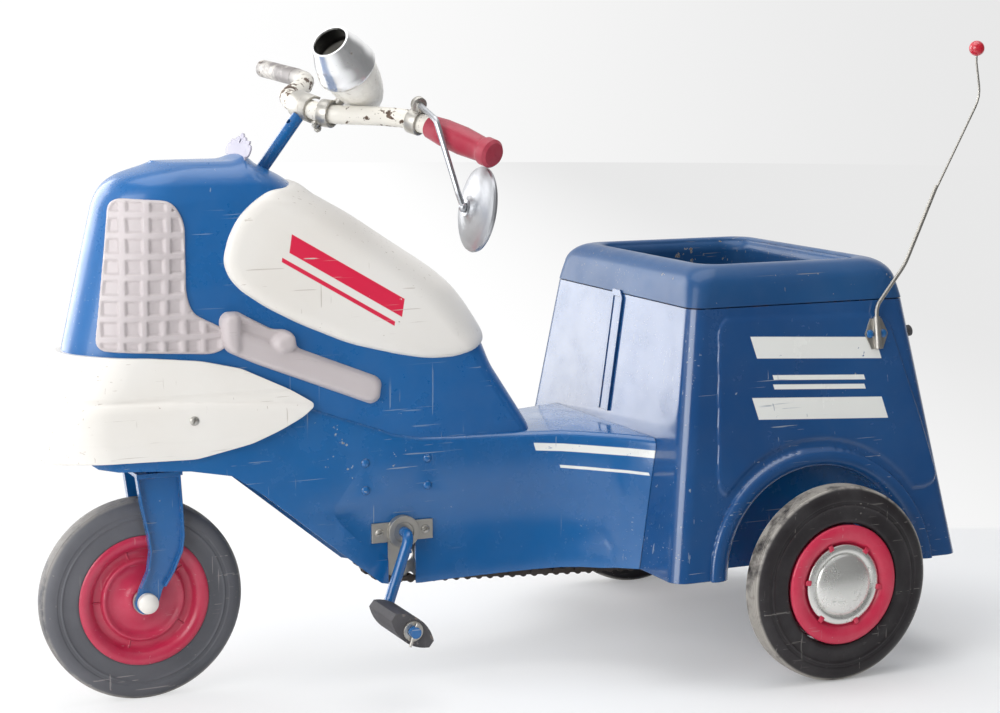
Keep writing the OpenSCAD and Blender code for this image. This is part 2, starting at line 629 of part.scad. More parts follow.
// Button: the dark rubber stop on the rear of the box
button_y = 148;
button_z = 343;
button_r = 6;
button_stem_r = 3;
module on_button() translate([box_rear(button_z), -button_y, button_z]) rotate([0, 90 - rear_lean, 0])
    children();
module rear_button() color(black) place() on_button() {
    translate([0, 0, seat]) intersection() {
        cylinder(r = button_r, h = 9);
        translate([0, 0, 1]) sphere(r = 8.5);
    }
    translate([0, 0, -5]) cylinder(r = button_stem_r, h = 6);
}

// Antenna: a riveted socket plate, a bent wire and its ball
antenna_u = 80;
antenna_v = up_side(346);
bracket_t = 1.6;
socket_r = 3.6;
module antenna_bracket() color(zinc) place() on_box_side() translate([antenna_u, antenna_v,
    seat + panel_rise]) difference() {
    union() {
        linear_extrude(bracket_t) polygon([[-7, -16], [7, -16], [14, 0], [7, 16], [-7, 16], [-14, 0]]);
        translate([0, -16, bracket_t + 2]) rotate([-90, 0, 0]) cylinder(r = socket_r, h = 34);
    }
    translate([0, -13, bracket_t + 2]) rotate([-90, 0, 0]) cylinder(r = sleeve_r + run, h = 40);
    for (s = [-1, 1]) translate([s * 8, 0, -1]) cylinder(r = rivet_r, h = 9);
}
sleeve_r = 2.1;
function side_pt(u, v, h) = [u, -box_half_low + v * sin(side_lean) - h * cos(side_lean),
    box_z + v * cos(side_lean) + h * sin(side_lean)];
socket_h = seat + panel_rise + bracket_t + 2;
antenna_top = [antenna_x, -box_half_high - 23, antenna_top_z];
antenna_foot = side_pt(antenna_u, antenna_v - 12.5, socket_h);
antenna_neck = side_pt(antenna_u, antenna_v + 28, socket_h);
antenna_split = [antenna_x - 38, -box_half_high - 13, antenna_top_z - 142];
module antenna_mast() color(zinc) place() {
    rod(rounded_route([antenna_foot, antenna_neck, [box_rear_high - 10, -box_half_high - 10,
        rim_z - 4], antenna_split], 8, 4),
        sleeve_r, 8, [0, 1, 0.1]);
    rod(concat(rounded_route([antenna_split - [5, 0, 12], antenna_top + [7, 1, -50], antenna_top - [0,
        0, 14]], 12, 4),
        [antenna_top - [0, 0, antenna_ball_d / 2 - 2]]), antenna_d / 2, 8, [0, 1, 0.1]);
}
module antenna_ball() color(red) place() translate(antenna_top) difference() {
    sphere(d = antenna_ball_d);
    translate([0, 0, -antenna_ball_d]) cylinder(r = antenna_d / 2 + seat / 2,
        h = antenna_ball_d - antenna_ball_d / 2 + 3);
}

// Crank hangers: a plate with a bearing ring on each side of the frame
hanger_t = 2.6;
hanger_pitch = 25;
hanger_bore = 10.5;
hanger_y = frame_half - panel_depth + seat;
hanger_ring = 8;
module hanger_half() difference() {
    union() {
        on_left(hanger_y) translate([-crank_x - 33, crank_z - 10, 0]) cube([66, 20, hanger_t]);
        across(-crank_x, crank_z, 16.5, -hanger_y - hanger_ring, -hanger_y);
        across(-crank_x, crank_z, crank_slot_r - seat, -hanger_y - 1, -hanger_y + 5);
    }
    across(-crank_x, crank_z, hanger_bore, -frame_half - 20, -frame_half + 10);
    for (s = [-1, 1]) across(-crank_x + s * hanger_pitch, crank_z, screw_r + run, -frame_half - 20,
        -frame_half + 10);
}
module crank_hanger_left() color(zinc) place() hanger_half();
module crank_hanger_right() color(zinc) place() mirror([0, 1, 0]) hanger_half();
module crank_bearings() color(zinc) place() both_sides() difference() {
    across(-crank_x, crank_z, hanger_bore - run, -hanger_y - hanger_ring + 1, -hanger_y + 5);
    across(-crank_x, crank_z, crank_d / 2 + run, -frame_half - 20, -frame_half + 20);
}
// Axle hangers: angle plates under the tub that carry the rear axle
axle_hanger_y = 118;
axle_hanger_top = tub_floor_z - box_wall - seat;
module axle_hangers() color(zinc) place() both_sides() difference() {
    union() {
        translate([-24, -axle_hanger_y - 3, wheel_r - 20]) cube([48, 3, axle_hanger_top - wheel_r + 20]);
        translate([-24, -axle_hanger_y - 1, axle_hanger_top - 3]) cube([48, 22, 3]);
        across(0, wheel_r, 14, -axle_hanger_y - 9, -axle_hanger_y);
    }
    across(0, wheel_r, axle_r + run, -axle_hanger_y - 20, -axle_hanger_y + 20);
}

// Roller chain: its links follow the two pitch circles and the runs between them
function pitch_r(teeth) = chain_pitch / (2 * sin(180 / teeth));
crank_pr = pitch_r(crank_teeth);
rear_pr = pitch_r(rear_teeth);
centre_gap = norm([crank_x, crank_z - wheel_r]);
line_tilt = atan2(crank_z - wheel_r, -crank_x);
wrap = asin((crank_pr - rear_pr) / centre_gap);
run_l = centre_gap * cos(wrap);
crank_arc = crank_pr * (180 + 2 * wrap) * PI / 180;
rear_arc = rear_pr * (180 - 2 * wrap) * PI / 180;
loop_l = 2 * run_l + crank_arc + rear_arc;
links = round(loop_l / chain_pitch);
step = loop_l / links;
crank_c = [-crank_x, crank_z];
rear_c = [0, wheel_r];
function polar(c, r, a) = c + r * [cos(a), sin(a)];
top_a = line_tilt - 90 - wrap;
low_a = line_tilt + 90 + wrap;
// Point at a distance along the loop, starting where the upper run leaves the crank wheel
function chain_pt(s) = s < run_l ? let (a = polar(crank_c, crank_pr, top_a), b = polar(rear_c, rear_pr,
    top_a)) a + (b - a) * s / run_l
    : s < run_l + rear_arc ? polar(rear_c, rear_pr, top_a - (s - run_l) / rear_pr * 180 / PI)
    : s < 2 * run_l + rear_arc ? let (a = polar(rear_c, rear_pr, low_a), b = polar(crank_c, crank_pr,
        low_a)) a + (b - a) * (s - run_l - rear_arc) / run_l
    : polar(crank_c, crank_pr, low_a - (s - 2 * run_l - rear_arc) / crank_pr * 180 / PI);
// Outline of a link plate with bevelled ends
function plate_outline(h) = [[-h - 4.6, -2], [-h - 2, -4.4], [h + 2, -4.4], [h + 4.6, -2],
    [h + 4.6, 2], [h + 2, 4.4], [-h - 2, 4.4], [-h - 4.6, 2]];
// Outer and inner links take turns, and an odd chain is closed by a half link between the two
module drive_chain() color(black) place() translate([0, -chain_y, 0]) rotate([90, 0, 0])
    for (i = [0:links - 1])
    let (a = chain_pt(i * step), b = chain_pt(((i + 1) % links) * step), m = (a + b) / 2,
        half_link = links % 2 == 1 && i == links - 1, h = norm(b - a) / 2)
    translate([m[0], m[1], 0]) rotate([0, 0, atan2(b[1] - a[1], b[0] - a[0])]) {
        for (s = [-1, 1]) translate([0, 0, s * (half_link ? 3 : i % 2 == 0 ? 3.6 : 2.3) - 0.6])
            linear_extrude(1.2) polygon(plate_outline(h));
        translate([h, 0, -4.3]) cylinder(r = 2.2, h = 8.6, $fn = 6);
    }
module toothed_wheel(teeth, thick) {
    pr = pitch_r(teeth);
    linear_extrude(thick, center = true) polygon([for (i = [0:teeth - 1]) let (a = 360 * i / teeth,
        q = 360 / teeth)
        each [polar([0, 0], pr - 3.9, a), polar([0, 0], pr - 3.0, a + q * 0.22), polar([0, 0],
            pr + 3.2, a + q * 0.42),
            polar([0, 0], pr + 3.2, a + q * 0.58), polar([0, 0], pr - 3.0, a + q * 0.78)]]);
}
module chain_wheel() color(zinc) place() translate([-crank_x, -chain_y, crank_z]) rotate([90, 0, 0])
    difference() {
    union() {
        rotate([0, 0, top_a]) toothed_wheel(crank_teeth, 2.6);
        cylinder(r = 15, h = 10, center = true);
    }
    cylinder(r = crank_d / 2 + run, h = 20, center = true);
    for (i = [0:4]) rotate([0, 0, i * 72]) translate([30, 0, -5]) cylinder(r = 8, h = 10);
}
// Angle of the chain pin nearest the middle of the rear sprocket's arc
rear_lead = ceil(run_l / step) * step - run_l + 2 * step;
rear_phase = top_a - rear_lead / rear_pr * 180 / PI;
module rear_sprocket() color(zinc) place() translate([0, -chain_y, wheel_r]) rotate([90, 0, 0])
    difference() {
    union() {
        rotate([0, 0, rear_phase]) toothed_wheel(rear_teeth, 2.6);
        cylinder(r = 11, h = 16, center = true);
    }
    cylinder(r = axle_r + run, h = 20, center = true);
}

// Crank: one bent rod, arms opposite each other
function arm_end(s) = [-crank_x - s * crank_throw * sin(crank_rest),
    crank_z - s * crank_throw * cos(crank_rest)];
crank_bend = 11;
pedal_from = arm_y + crank_bend + 1;
keeper_y = pedal_from + pedal_l + seat;
cotter_y = keeper_y + 5;
pin_end = cotter_y + 4;
// Half of the crank: outward along X, down the arm along Y, then outward along the pedal pin
module crank_half() {
    r = crank_d / 2;
    rotate([0, 90, 0]) cylinder(r = r, h = arm_y - crank_bend);
    translate([arm_y - crank_bend, crank_bend, 0]) rotate([0, 0, -90]) rotate_extrude(angle = 90)
        translate([crank_bend, 0]) circle(r = r);
    translate([arm_y, crank_bend, 0]) rotate([-90, 0, 0]) cylinder(r = r, h = crank_throw - crank_bend * 2);
    translate([arm_y + crank_bend, crank_throw - crank_bend, 0]) rotate([0, 0, 90])
        rotate_extrude(angle = 90) translate([crank_bend, 0]) circle(r = r);
    difference() {
        translate([arm_y + crank_bend, crank_throw, 0]) rotate([0, 90, 0]) cylinder(r = r,
            h = pin_end - arm_y - crank_bend);
        translate([cotter_y, crank_throw - 10, 0]) rotate([-90, 0, 0]) cylinder(r = cotter_r + run, h = 20);
    }
}
cotter_r = 1.5;
module on_crank() translate([-crank_x, 0, crank_z]) rotate([0, crank_rest + 90, 0]) rotate([0, 0, -90])
    children();
module crank() color(blue) place() on_crank() {
    crank_half();
    rotate([0, 0, 180]) crank_half();
}
// Pedal blocks: lens-shaped rubber blocks on the pins
module pedal(side, tilt) translate([arm_end(side)[0], -side * (pedal_from + pedal_l / 2), arm_end(side)[1]])
    rotate([0, tilt, 0]) rotate([90, 0, 0]) difference() {
        linear_extrude(pedal_l, center = true) intersection() {
            r = (pedal_w * pedal_w / 4 + pedal_t * pedal_t / 4) / pedal_t;
            translate([0, pedal_t / 2 - r]) circle(r = r, $fn = 96);
            translate([0, r - pedal_t / 2]) circle(r = r, $fn = 96);
            square([pedal_w - 8, pedal_t], center = true);
        }
        cylinder(r = crank_d / 2 + run, h = pedal_l + 10, center = true);
        for (s = [-1, 1], i = [-2:2]) translate([i * 9, s * (pedal_t / 2 + 1), 0]) rotate([0, 0, 45])
            cube([3, 3, pedal_l + 4], center = true);
    }
module pedal_left() color(black) place() pedal(1, pedal_tilt);
module pedal_right() color(black) place() pedal(-1, pedal_tilt - 8);
// Washers and split pins that keep the pedals on
module pedal_keepers() color(zinc) place() on_crank() for (turn = [0, 180]) rotate([0, 0, turn]) {
    translate([keeper_y, crank_throw, 0]) rotate([0, 90, 0]) difference() {
        cylinder(r = 10, h = 2);
        translate([0, 0, -1]) cylinder(r = crank_d / 2 + run, h = 4);
    }
    translate([cotter_y, crank_throw - 9, 0]) rotate([-90, 0, 0]) cylinder(r = cotter_r, h = 24);
}

// Wheels: a dished disc with a rolled rim, and a solid tyre with a rounded shoulder
rim_r = rim_d / 2;
disc_half = [[0, 17], [14, 17], [17, 15], [20, 9], [24, 6], [33, 5], [36, 7], [41, 8], [44, 6.4], [52,
    6.4], [56, 9],
    [58, 12.4], [rim_r - 2.5, 13.6], [rim_r, 12.4]];
module wheel_disc(bore) rotate([90, 0, 0]) difference() {
    rotate_extrude($fn = 72) polygon(concat([for (p = disc_half) [p[0], p[1]]],
        [for (i = [len(disc_half) - 1:-1:0]) [disc_half[i][0], -disc_half[i][1]]]));
    cylinder(r = bore, h = 60, center = true);
}
module tyre() rotate([90, 0, 0]) rotate_extrude($fn = 96) polygon(concat(
    [[rim_r + seat, -12], [rim_r + 4, -tyre_w / 2 + 1]],
    arc([wheel_r - 15, 0] + [0, -tyre_w / 2 + 9], 9, 270, 300, 2),
    [for (i = [-3:3]) [wheel_r - 0.22 * i * i, i * (tyre_w / 2 - 5) / 3]],
    arc([wheel_r - 15, 0] + [0, tyre_w / 2 - 9], 9, 60, 90, 2),
    [[rim_r + 4, tyre_w / 2 - 1], [rim_r + seat, 12]]));
front_c = [-wheelbase, 0, wheel_r];
module front_disc() color(red) place() translate(front_c) wheel_disc(bearing_r + run);
module front_tyre() color(black) place() translate(front_c) tyre();
bearing_r = 11;
bearing_lip = blade_in - 17 - seat * 2;
module front_bearings() color(zinc) place() translate(front_c) rotate([90, 0, 0]) for (s = [-1, 1])
    difference() {
    union() {
        translate([0, 0, s * 12]) cylinder(r = bearing_r, h = 10, center = true);
        translate([0, 0, s * (17 + seat + bearing_lip / 2)]) cylinder(r = bearing_r + 2,
            h = bearing_lip, center = true);
        translate([0, 0, s * 17]) cylinder(r = bearing_r, h = 2, center = true);
    }
    cylinder(r = axle_r + run, h = 60, center = true);
}
// Hubcap: a stepped ring and a dome, pressed on the rear discs
module hubcap() rotate([90, 0, 0]) rotate_extrude($fn = 72) polygon(concat([[0,
    13.4 + hubcap_rise - 3], [0, 13.4 + hubcap_rise]],
    [for (i = [1:6]) let (x = i / 6) [30 * x, 13.4 + hubcap_rise * (1 - 0.42 * x * x)]],
    [[33, 17.6], [hubcap_d / 2 - 3, 16.6], [hubcap_d / 2, 13.4], [hubcap_d / 2, 8.1],
        [hubcap_d / 2 - 2.4, 8.1], [hubcap_d / 2 - 2.4, 13], [31, 14.6], [28, 15.4]]));
module rear_wheel(side) translate([0, -side * rear_track_half, wheel_r]) {
    wheel_disc(axle_r + run);
    rotate([0, 0, side > 0 ? 0 : 180]) hubcap();
}
module rear_wheel_left() color(red) place() rear_wheel(1);
module rear_wheel_right() color(red) place() rear_wheel(-1);
module rear_tyre_left() color(black) place() translate([0, -rear_track_half, wheel_r]) tyre();
module rear_tyre_right() color(black) place() translate([0, rear_track_half, wheel_r]) tyre();
module rear_axle() color(zinc) place() across(0, wheel_r, axle_r, -rear_track_half - 16.5,
    rear_track_half + 16.5);

// Fork: a pressed crown with two flanged blades that taper to the axle
crown_h = 4;
fork_end_r = 12;
blade_outline = [for (p = concat([[-9, crown_z - 3 - wheel_r], [-5, 98], [1, 68], [3, 52], [0, 32],
    [-8, 14]],
    arc([0, 0], fork_end_r, 180, 360, 8), [[16, 12], [27, 30], [36, 50], [38, 66], [37, 93], [35,
        crown_z - 3 - wheel_r]]))
    [p[0] - wheelbase, p[1] + wheel_r]];
module fork() color(blue) place() difference() {
    union() {
        both_sides() on_left(blade_in) linear_extrude(blade_t) polygon(blade_outline);
        // turned-out flanges that stiffen the blades above the axle
        both_sides() on_left(blade_in) linear_extrude(9) difference() {
            polygon(blade_outline);
            offset(delta = -2) polygon(blade_outline);
            translate([-wheelbase - 40, wheel_r - 40]) square([80, 56]);
        }
        translate([-wheelbase - 9, -blade_in - 9, crown_z - crown_h]) cube([46, (blade_in + 9) * 2,
            crown_h]);
    }
    across(-wheelbase, wheel_r, axle_r + run, -60, 60);
    on_steering_axis() translate([0, 0, -20]) cylinder(r = post_d / 2 + run, h = 40);
}
module front_axle() color(zinc) place() across(-wheelbase, wheel_r, axle_r, -blade_in - blade_t - 8,
    blade_in + blade_t + 8);
module axle_caps() color(white) place() both_sides() translate([-wheelbase, -blade_in - blade_t - seat,
    wheel_r]) rotate([90, 0, 0]) difference() {
    intersection() {
        cylinder(r = 10, h = 11);
        translate([0, 0, -3]) sphere(r = 14);
    }
    translate([0, 0, -1]) cylinder(r = axle_r + run, h = 9 - seat + 0.4);
}
// Steering post: straight through the head, bent back above the cowl, up to the handlebar
post_bend = [-crown_x + (head_top_z - 10 - crown_z) * tan(rake), 0, head_top_z - 10];
post_foot = [-crown_x, 0, crown_z] - crown_h * [sin(rake), 0, cos(rake)];
bar_lift = 79;
bar_c = post_bend + bar_lift * [sin(post_lean), 0, cos(post_lean)];
post_top = bar_c - (bar_d / 2 + 2) * [sin(post_lean), 0, cos(post_lean)];
module steering_post() color(blue) place() difference() {
    union() {
        bar_between(post_foot, post_bend, post_d / 2);
        translate(post_bend) sphere(d = post_d);
        bar_between(post_bend, post_top, post_d / 2);
    }
    on_clamp_bolt() translate([0, 0, -10]) cylinder(r = bolt_r + run, h = 20);
}

// Everything that is turned with the handlebar in its clamp
module on_bars() translate(bar_c) rotate([0, post_lean, 0]) rotate([0, 0, bar_turn]) rotate([0,
    -post_lean, 0]) children();
function rot_y(v, a) = [v[0] * cos(a) + v[2] * sin(a), v[1], v[2] * cos(a) - v[0] * sin(a)];
function rot_z(v, a) = [v[0] * cos(a) - v[1] * sin(a), v[0] * sin(a) + v[1] * cos(a), v[2]];
// Where a point of the handlebar's own drawing lies on the cycle
function bars_pt(p) = bar_c + rot_y(rot_z(rot_y(p, -post_lean), bar_turn), post_lean);
bar_route_half = [[0, 26, 0], [8, 44, 1], [46, 74, 4], [60, 92, 5], [68, 116, 3], [79, bar_half, -5]];
bar_left = [for (p = bar_route_half) [p[0], -p[1], p[2]]];
bar_route = concat([for (i = [len(bar_left) - 1:-1:0]) bar_left[i]], bar_route_half);
// Length by which the bent middle of the bar runs into each straight end
bar_lap = 14;
bar_end_l = norm(bar_left[5] - bar_left[4]) - bar_lap / 2;
// The bent middle, whose outer stretches reach only a little way into the straight ends
function lapped(p) = concat([p[1] + unit(p[0] - p[1]) * bar_lap], [for (i = [1:len(p) - 2]) p[i]],
    [p[len(p) - 2] + unit(p[len(p) - 1] - p[len(p) - 2]) * bar_lap]);
module handlebar() color(white) place() on_bars() {
    rod(rounded_route(lapped(bar_route), 6, 2), bar_d / 2 - run, 12, [0.05, 0.02, 1]);
    for (ends = [bar_left, bar_route_half]) along(ends[5], ends[4]) cylinder(r = bar_d / 2, h = bar_end_l);
}
// Strap clamp: a band round the bar whose tails close on the post
strap_w = 26;
strap_t = 3;
bolt_r = 2.5;
bolt_drop = 22;
module on_clamp_bolt() on_bars() rotate([0, post_lean, 0]) translate([0, 0, -bolt_drop]) rotate([0, 90,
    0]) children();
module bar_clamp() color(zinc) place() difference() {
    on_bars() rotate([0, post_lean, 0]) difference() {
        union() {
            rotate([90, 0, 0]) cylinder(r = bar_d / 2 + seat + strap_t, h = strap_w, center = true);
            translate([-post_d / 2 - 3, -strap_w / 2, -30]) cube([post_d + 6, strap_w, 26]);
        }
        rotate([90, 0, 0]) cylinder(r = bar_d / 2 + seat, h = strap_w + 2, center = true);
        translate([-post_d / 2 - seat, -strap_w, -40]) cube([post_d + seat * 2, strap_w * 2, 34]);
    }
    on_clamp_bolt() translate([0, 0, -20]) cylinder(r = bolt_r + run, h = 40);
}
module clamp_bolt() color(zinc) place() on_clamp_bolt() {
    bolt_half = post_d / 2 + 3 + seat;
    translate([0, 0, -bolt_half - 3.6]) cylinder(r = bolt_r, h = bolt_half * 2 + 7.2);
    for (z = [-bolt_half - 3.6, bolt_half]) translate([0, 0, z]) cylinder(r = 5, h = 3.6, $fn = 6);
}
// Grip: a tapered rubber sleeve with a flared end
grip_l = norm(bar_left[5] - bar_left[4]) + 3;
module grip_left() color(red) place() on_bars() along(bar_left[4], bar_left[5]) difference() {
    rotate_extrude() polygon([[0, 5], [bar_d / 2 + 2, 5], [bar_d / 2 + 4, 24], [bar_d / 2 + 4.5, 50],
        [bar_d / 2 + 2.5, grip_l - 14],
        [bar_d / 2 + 4.5, grip_l - 10], [bar_d / 2 + 4.5, grip_l - 1], [bar_d / 2 + 2, grip_l + 2], [0,
            grip_l + 3]]);
    translate([0, 0, -1]) cylinder(r = bar_d / 2 + seat, h = grip_l - 1.4);
}

// Lamp: a bullet shell, open at its mouth, behind a chromed bezel
lamp_c = bar_c + [27.49, -45, 40.91];
lamp_dir = unit([-0.612, -0.435, 0.661]);
module on_lamp() along(lamp_c, lamp_c + lamp_dir) children();
lamp_r = lamp_d / 2;
shell_r = lamp_r - 3;
shell_l = lamp_l - 46;
module lamp_bezel() color(chrome) place() on_lamp() rotate_extrude($fn = 72) polygon([
    [lamp_r - 1, -6], [lamp_r + 0.6, -3], [lamp_r, 1], [lamp_r - 1, 4], [lamp_r - 3.4, 16],
        [lamp_r - 8, 28], [mouth_d / 2 + 1, 36],
    [mouth_d / 2 - 1, 36], [mouth_d / 2 - 1, 34], [lamp_r - 10, 26], [lamp_r - 5.6, 15], [shell_r - 0.6, 3],
    [shell_r - 0.6, seat], [shell_r + seat, seat], [shell_r + seat, -6]]);
module shell_solid(g) rotate_extrude($fn = 72) polygon(concat([[0, -0.1]],
    [for (i = [0:8]) let (a = 90 * i / 8) [(shell_r + g) * cos(a), -6 - (shell_l + g) * sin(a)]], [[0,
        -6 - shell_l - g]]));
module lamp_shell() color(white) place() on_lamp() rotate_extrude($fn = 72) polygon(concat(
    [[shell_r, 0]],
    [for (i = [0:8]) let (a = 90 * i / 8) [shell_r * cos(a), -6 - shell_l * sin(a)]],
    [for (i = [8:-1:0]) let (a = 90 * i / 8) [(shell_r - 1.6) * cos(a), -6 - (shell_l - 1.6) * sin(a)]],
    [[shell_r - 1.6, 0]]));
// Lamp clamp: a split ring on the bar and a saddle under the shell
lamp_ring = bar_left[0] + (bar_left[1] - bar_left[0]) * 0.5;
lamp_ring_c = bars_pt(lamp_ring);
lamp_saddle = lamp_c - lamp_dir * 27;
lamp_ear = 20;
module lamp_clamp() color(zinc) place() difference() {
    union() {
        on_bars() along(lamp_ring, bar_left[1]) cylinder(r = bar_d / 2 + 3.4, h = 14, center = true);
        bar_between(lamp_ring_c, lamp_saddle, 6);
        bar_between(lamp_ring_c, lamp_ring_c - unit(lamp_saddle - lamp_ring_c) * lamp_ear, 5);
    }
    on_bars() along(lamp_ring, bar_left[1]) cylinder(r = bar_d / 2 + 1.2, h = 30, center = true);
    on_lamp() translate([0, 0, -0.1]) shell_solid(seat);
}

// Mirror: a clamp, a bent rod, and a round glass in a dished back
mirror_ring = bar_left[3] + (bar_left[4] - bar_left[3]) * 0.42;
mirror_ring_c = bars_pt(mirror_ring);
mirror_root = bar_c + [85.99, -91, 3.91];
module mirror_clamp() color(zinc) place() difference() {
    union() {
        on_bars() along(mirror_ring, bar_left[4]) cylinder(r = bar_d / 2 + 3.6, h = 12, center = true);
        bar_between(mirror_ring_c, mirror_root + unit(mirror_root - mirror_ring_c) * 6, 6.5);
    }
    on_bars() along(mirror_ring, bar_left[4]) cylinder(r = bar_d / 2 + 0.9, h = 30, center = true);
    along(mirror_root, mirror_root + mirror_way) cylinder(r = mirror_rod_d / 2 + run, h = 40,
        center = true);
}
mirror_bend = bar_c + [87.79, -131, -9.89];
mirror_way = mirror_bend - mirror_root;
mirror_pivot = bar_c + [104.49, -158, -92.59];
mirror_route = [mirror_root - unit(mirror_way) * 8, mirror_bend, mirror_pivot + [-5, 1, 14], mirror_pivot];
module mirror_rod() color(chrome) place() {
    rod(rounded_route(mirror_route, 5, 3), mirror_rod_d / 2, 10, [0, 1, 0.3]);
    translate(mirror_pivot) sphere(r = 4.6);
}
mirror_r = mirror_d / 2;
module on_mirror() translate(mirror_pivot) rotate([0, 99, 0]) translate([0, 0, 6]) children();
module mirror_back() color(chrome) place() on_mirror() rotate_extrude($fn = 72) polygon([
    [4.9, -4], [8, -4], [8, -2.5], [12, 0], [26, 2], [36, 4.6], [mirror_r - 1, 7], [mirror_r, 9],
        [mirror_r - 0.4, 11], [mirror_r - 1.6, 11],
    [mirror_r - 1.6, 8.6], [35, 6.2], [25, 3.6], [12, 1.6], [4.9, 1.6]]);
module mirror_glass() color(chrome) place() on_mirror() translate([0, 0, 9])
    cylinder(r = mirror_r - 1.9, h = 1.8);

frame_shell();
cross_brace();
head_tube();
head_bushes();
rivets();
slotted_screws();
cowl_left();
cowl_right();
tank_left();
tank_right();
grille_left();
grille_right();
engine_left();
engine_right();
fairing_left();
fairing_right();
badge_plate();
box_shell();
box_tub();
front_strip();
wheel_well_left();
wheel_well_right();
rear_button();
antenna_bracket();
antenna_mast();
antenna_ball();
crank_hanger_left();
crank_hanger_right();
crank_bearings();
axle_hangers();
drive_chain();
fork();
steering_post();
front_axle();
axle_caps();
bar_clamp();
clamp_bolt();
handlebar();
grip_left();
lamp_clamp();
mirror_clamp();
lamp_shell();
lamp_bezel();
mirror_rod();
mirror_back();
mirror_glass();
front_tyre();
front_disc();
front_bearings();
crank();
chain_wheel();
pedal_keepers();
pedal_left();
pedal_right();
rear_axle();
rear_sprocket();
rear_wheel_left();
rear_tyre_left();
rear_wheel_right();
rear_tyre_right();
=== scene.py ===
# %% [markdown]
# # A child's pedal cycle with a patrol box
# The real object is an old ride-on toy: a pressed steel frame, a moulded cowl in front, a steel box
# behind, and a roller chain between the crank and the rear axle. The CAD model already holds every
# piece at its true size, so this script only dresses it: it gives smooth shading, fine forms and
# worn finishes, and sets up the light and the camera of the photograph.

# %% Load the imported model
import math
import bmesh
import bpy
import numpy as np
from mathutils import Matrix, Vector


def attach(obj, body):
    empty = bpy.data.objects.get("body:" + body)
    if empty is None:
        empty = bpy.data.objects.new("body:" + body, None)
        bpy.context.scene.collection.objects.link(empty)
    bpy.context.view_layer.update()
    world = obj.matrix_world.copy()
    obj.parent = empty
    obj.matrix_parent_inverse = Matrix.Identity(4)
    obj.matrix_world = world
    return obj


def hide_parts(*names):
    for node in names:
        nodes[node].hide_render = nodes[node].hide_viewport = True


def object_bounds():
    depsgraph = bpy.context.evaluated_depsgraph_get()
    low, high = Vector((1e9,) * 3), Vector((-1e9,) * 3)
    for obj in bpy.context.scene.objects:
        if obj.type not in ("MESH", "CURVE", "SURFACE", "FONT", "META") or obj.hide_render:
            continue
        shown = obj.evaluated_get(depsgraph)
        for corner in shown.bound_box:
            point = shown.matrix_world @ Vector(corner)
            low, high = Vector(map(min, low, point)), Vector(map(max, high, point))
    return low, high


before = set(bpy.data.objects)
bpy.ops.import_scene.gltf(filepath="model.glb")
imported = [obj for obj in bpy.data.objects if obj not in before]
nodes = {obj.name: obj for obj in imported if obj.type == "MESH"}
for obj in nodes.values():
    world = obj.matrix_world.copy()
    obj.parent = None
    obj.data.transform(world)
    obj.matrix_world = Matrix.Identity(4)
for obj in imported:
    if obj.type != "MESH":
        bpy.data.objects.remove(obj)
cad_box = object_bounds()

# %% [markdown]
# ## The camera
# The photograph was taken from the left and a little from in front, from about two metres away and
# slightly above the lamp. The camera's place comes from fitting known points of the model to the
# picture, so no lens shift is needed.

# %% Camera
IMAGE_WIDTH, FOCAL_PIXELS, SENSOR_MM = 1000, 2200.0, 36.0
LOOKS_DOWN, LOOKS_RIGHT = 8.39, 23.92
camera_data = bpy.data.cameras.new("photo_camera")
camera_data.sensor_width = SENSOR_MM
camera_data.sensor_fit = "HORIZONTAL"
camera_data.lens = FOCAL_PIXELS / IMAGE_WIDTH * SENSOR_MM
camera = bpy.data.objects.new("photo_camera", camera_data)
camera.location = (-0.9132, -2.0961, 0.6587)
camera.rotation_euler = (math.radians(90 - LOOKS_DOWN), 0.0, math.radians(-LOOKS_RIGHT))
bpy.context.scene.collection.objects.link(camera)
bpy.context.scene.camera = camera
print("lens", round(camera_data.lens, 1), "mm")

# %% Places in millimetres
MM = 0.001
SHIFT = Vector((0.292, 0.0, 0.0))


def at(x, y, z):
    """A place measured in millimetres from the rear axle's ground point, in the model's own frame."""
    return Vector((x, y, z)) * MM + SHIFT


print("rear axle's ground point", tuple(round(v, 3) for v in at(0, 0, 0)))

# %% [markdown]
# ## Node trees
# The studio and every finish are made of shader nodes. These helpers add a node, feed its sockets
# and do the sums, so that the later cells read like formulas.

# %% Helpers for node trees
def fresh_tree(owner):
    owner.use_nodes = True
    owner.node_tree.nodes.clear()
    return owner.node_tree


def new_node(tree, kind, inputs=None, **settings):
    """Adds a node, applies its settings, and sets or links the inputs, by name or by number."""
    node = tree.nodes.new("ShaderNode" + kind)
    for label, value in settings.items():
        setattr(node, label, value)
    for key, value in (inputs or {}).items():
        if isinstance(value, bpy.types.NodeSocket):
            tree.links.new(value, node.inputs[key])
        else:
            node.inputs[key].default_value = value
    return node


def maths(tree, operation, *values, clamp=False):
    return new_node(tree, "Math", dict(enumerate(values)), operation=operation, use_clamp=clamp).outputs[0]


def vector_maths(tree, operation, *values):
    node = new_node(tree, "VectorMath", dict(enumerate(values)), operation=operation)
    return node.outputs["Value" if operation in ("DOT_PRODUCT", "LENGTH") else "Vector"]


def largest(tree, masks):
    most = masks[0]
    for mask in masks[1:]:
        most = maths(tree, "MAXIMUM", most, mask)
    return most


def step_up(tree, value, low, high, below=0.0, above=1.0):
    """Runs smoothly from one value to the other between two limits."""
    limits = {"Value": value, "From Min": low, "From Max": high, "To Min": below, "To Max": above}
    return new_node(tree, "MapRange", limits, interpolation_type="SMOOTHSTEP").outputs[0]


def slope_value(tree, place, direction, low, high, below=0.0, above=1.0):
    """The same along a direction of the object's own coordinates."""
    return step_up(tree, vector_maths(tree, "DOT_PRODUCT", place, direction), low, high, below, above)


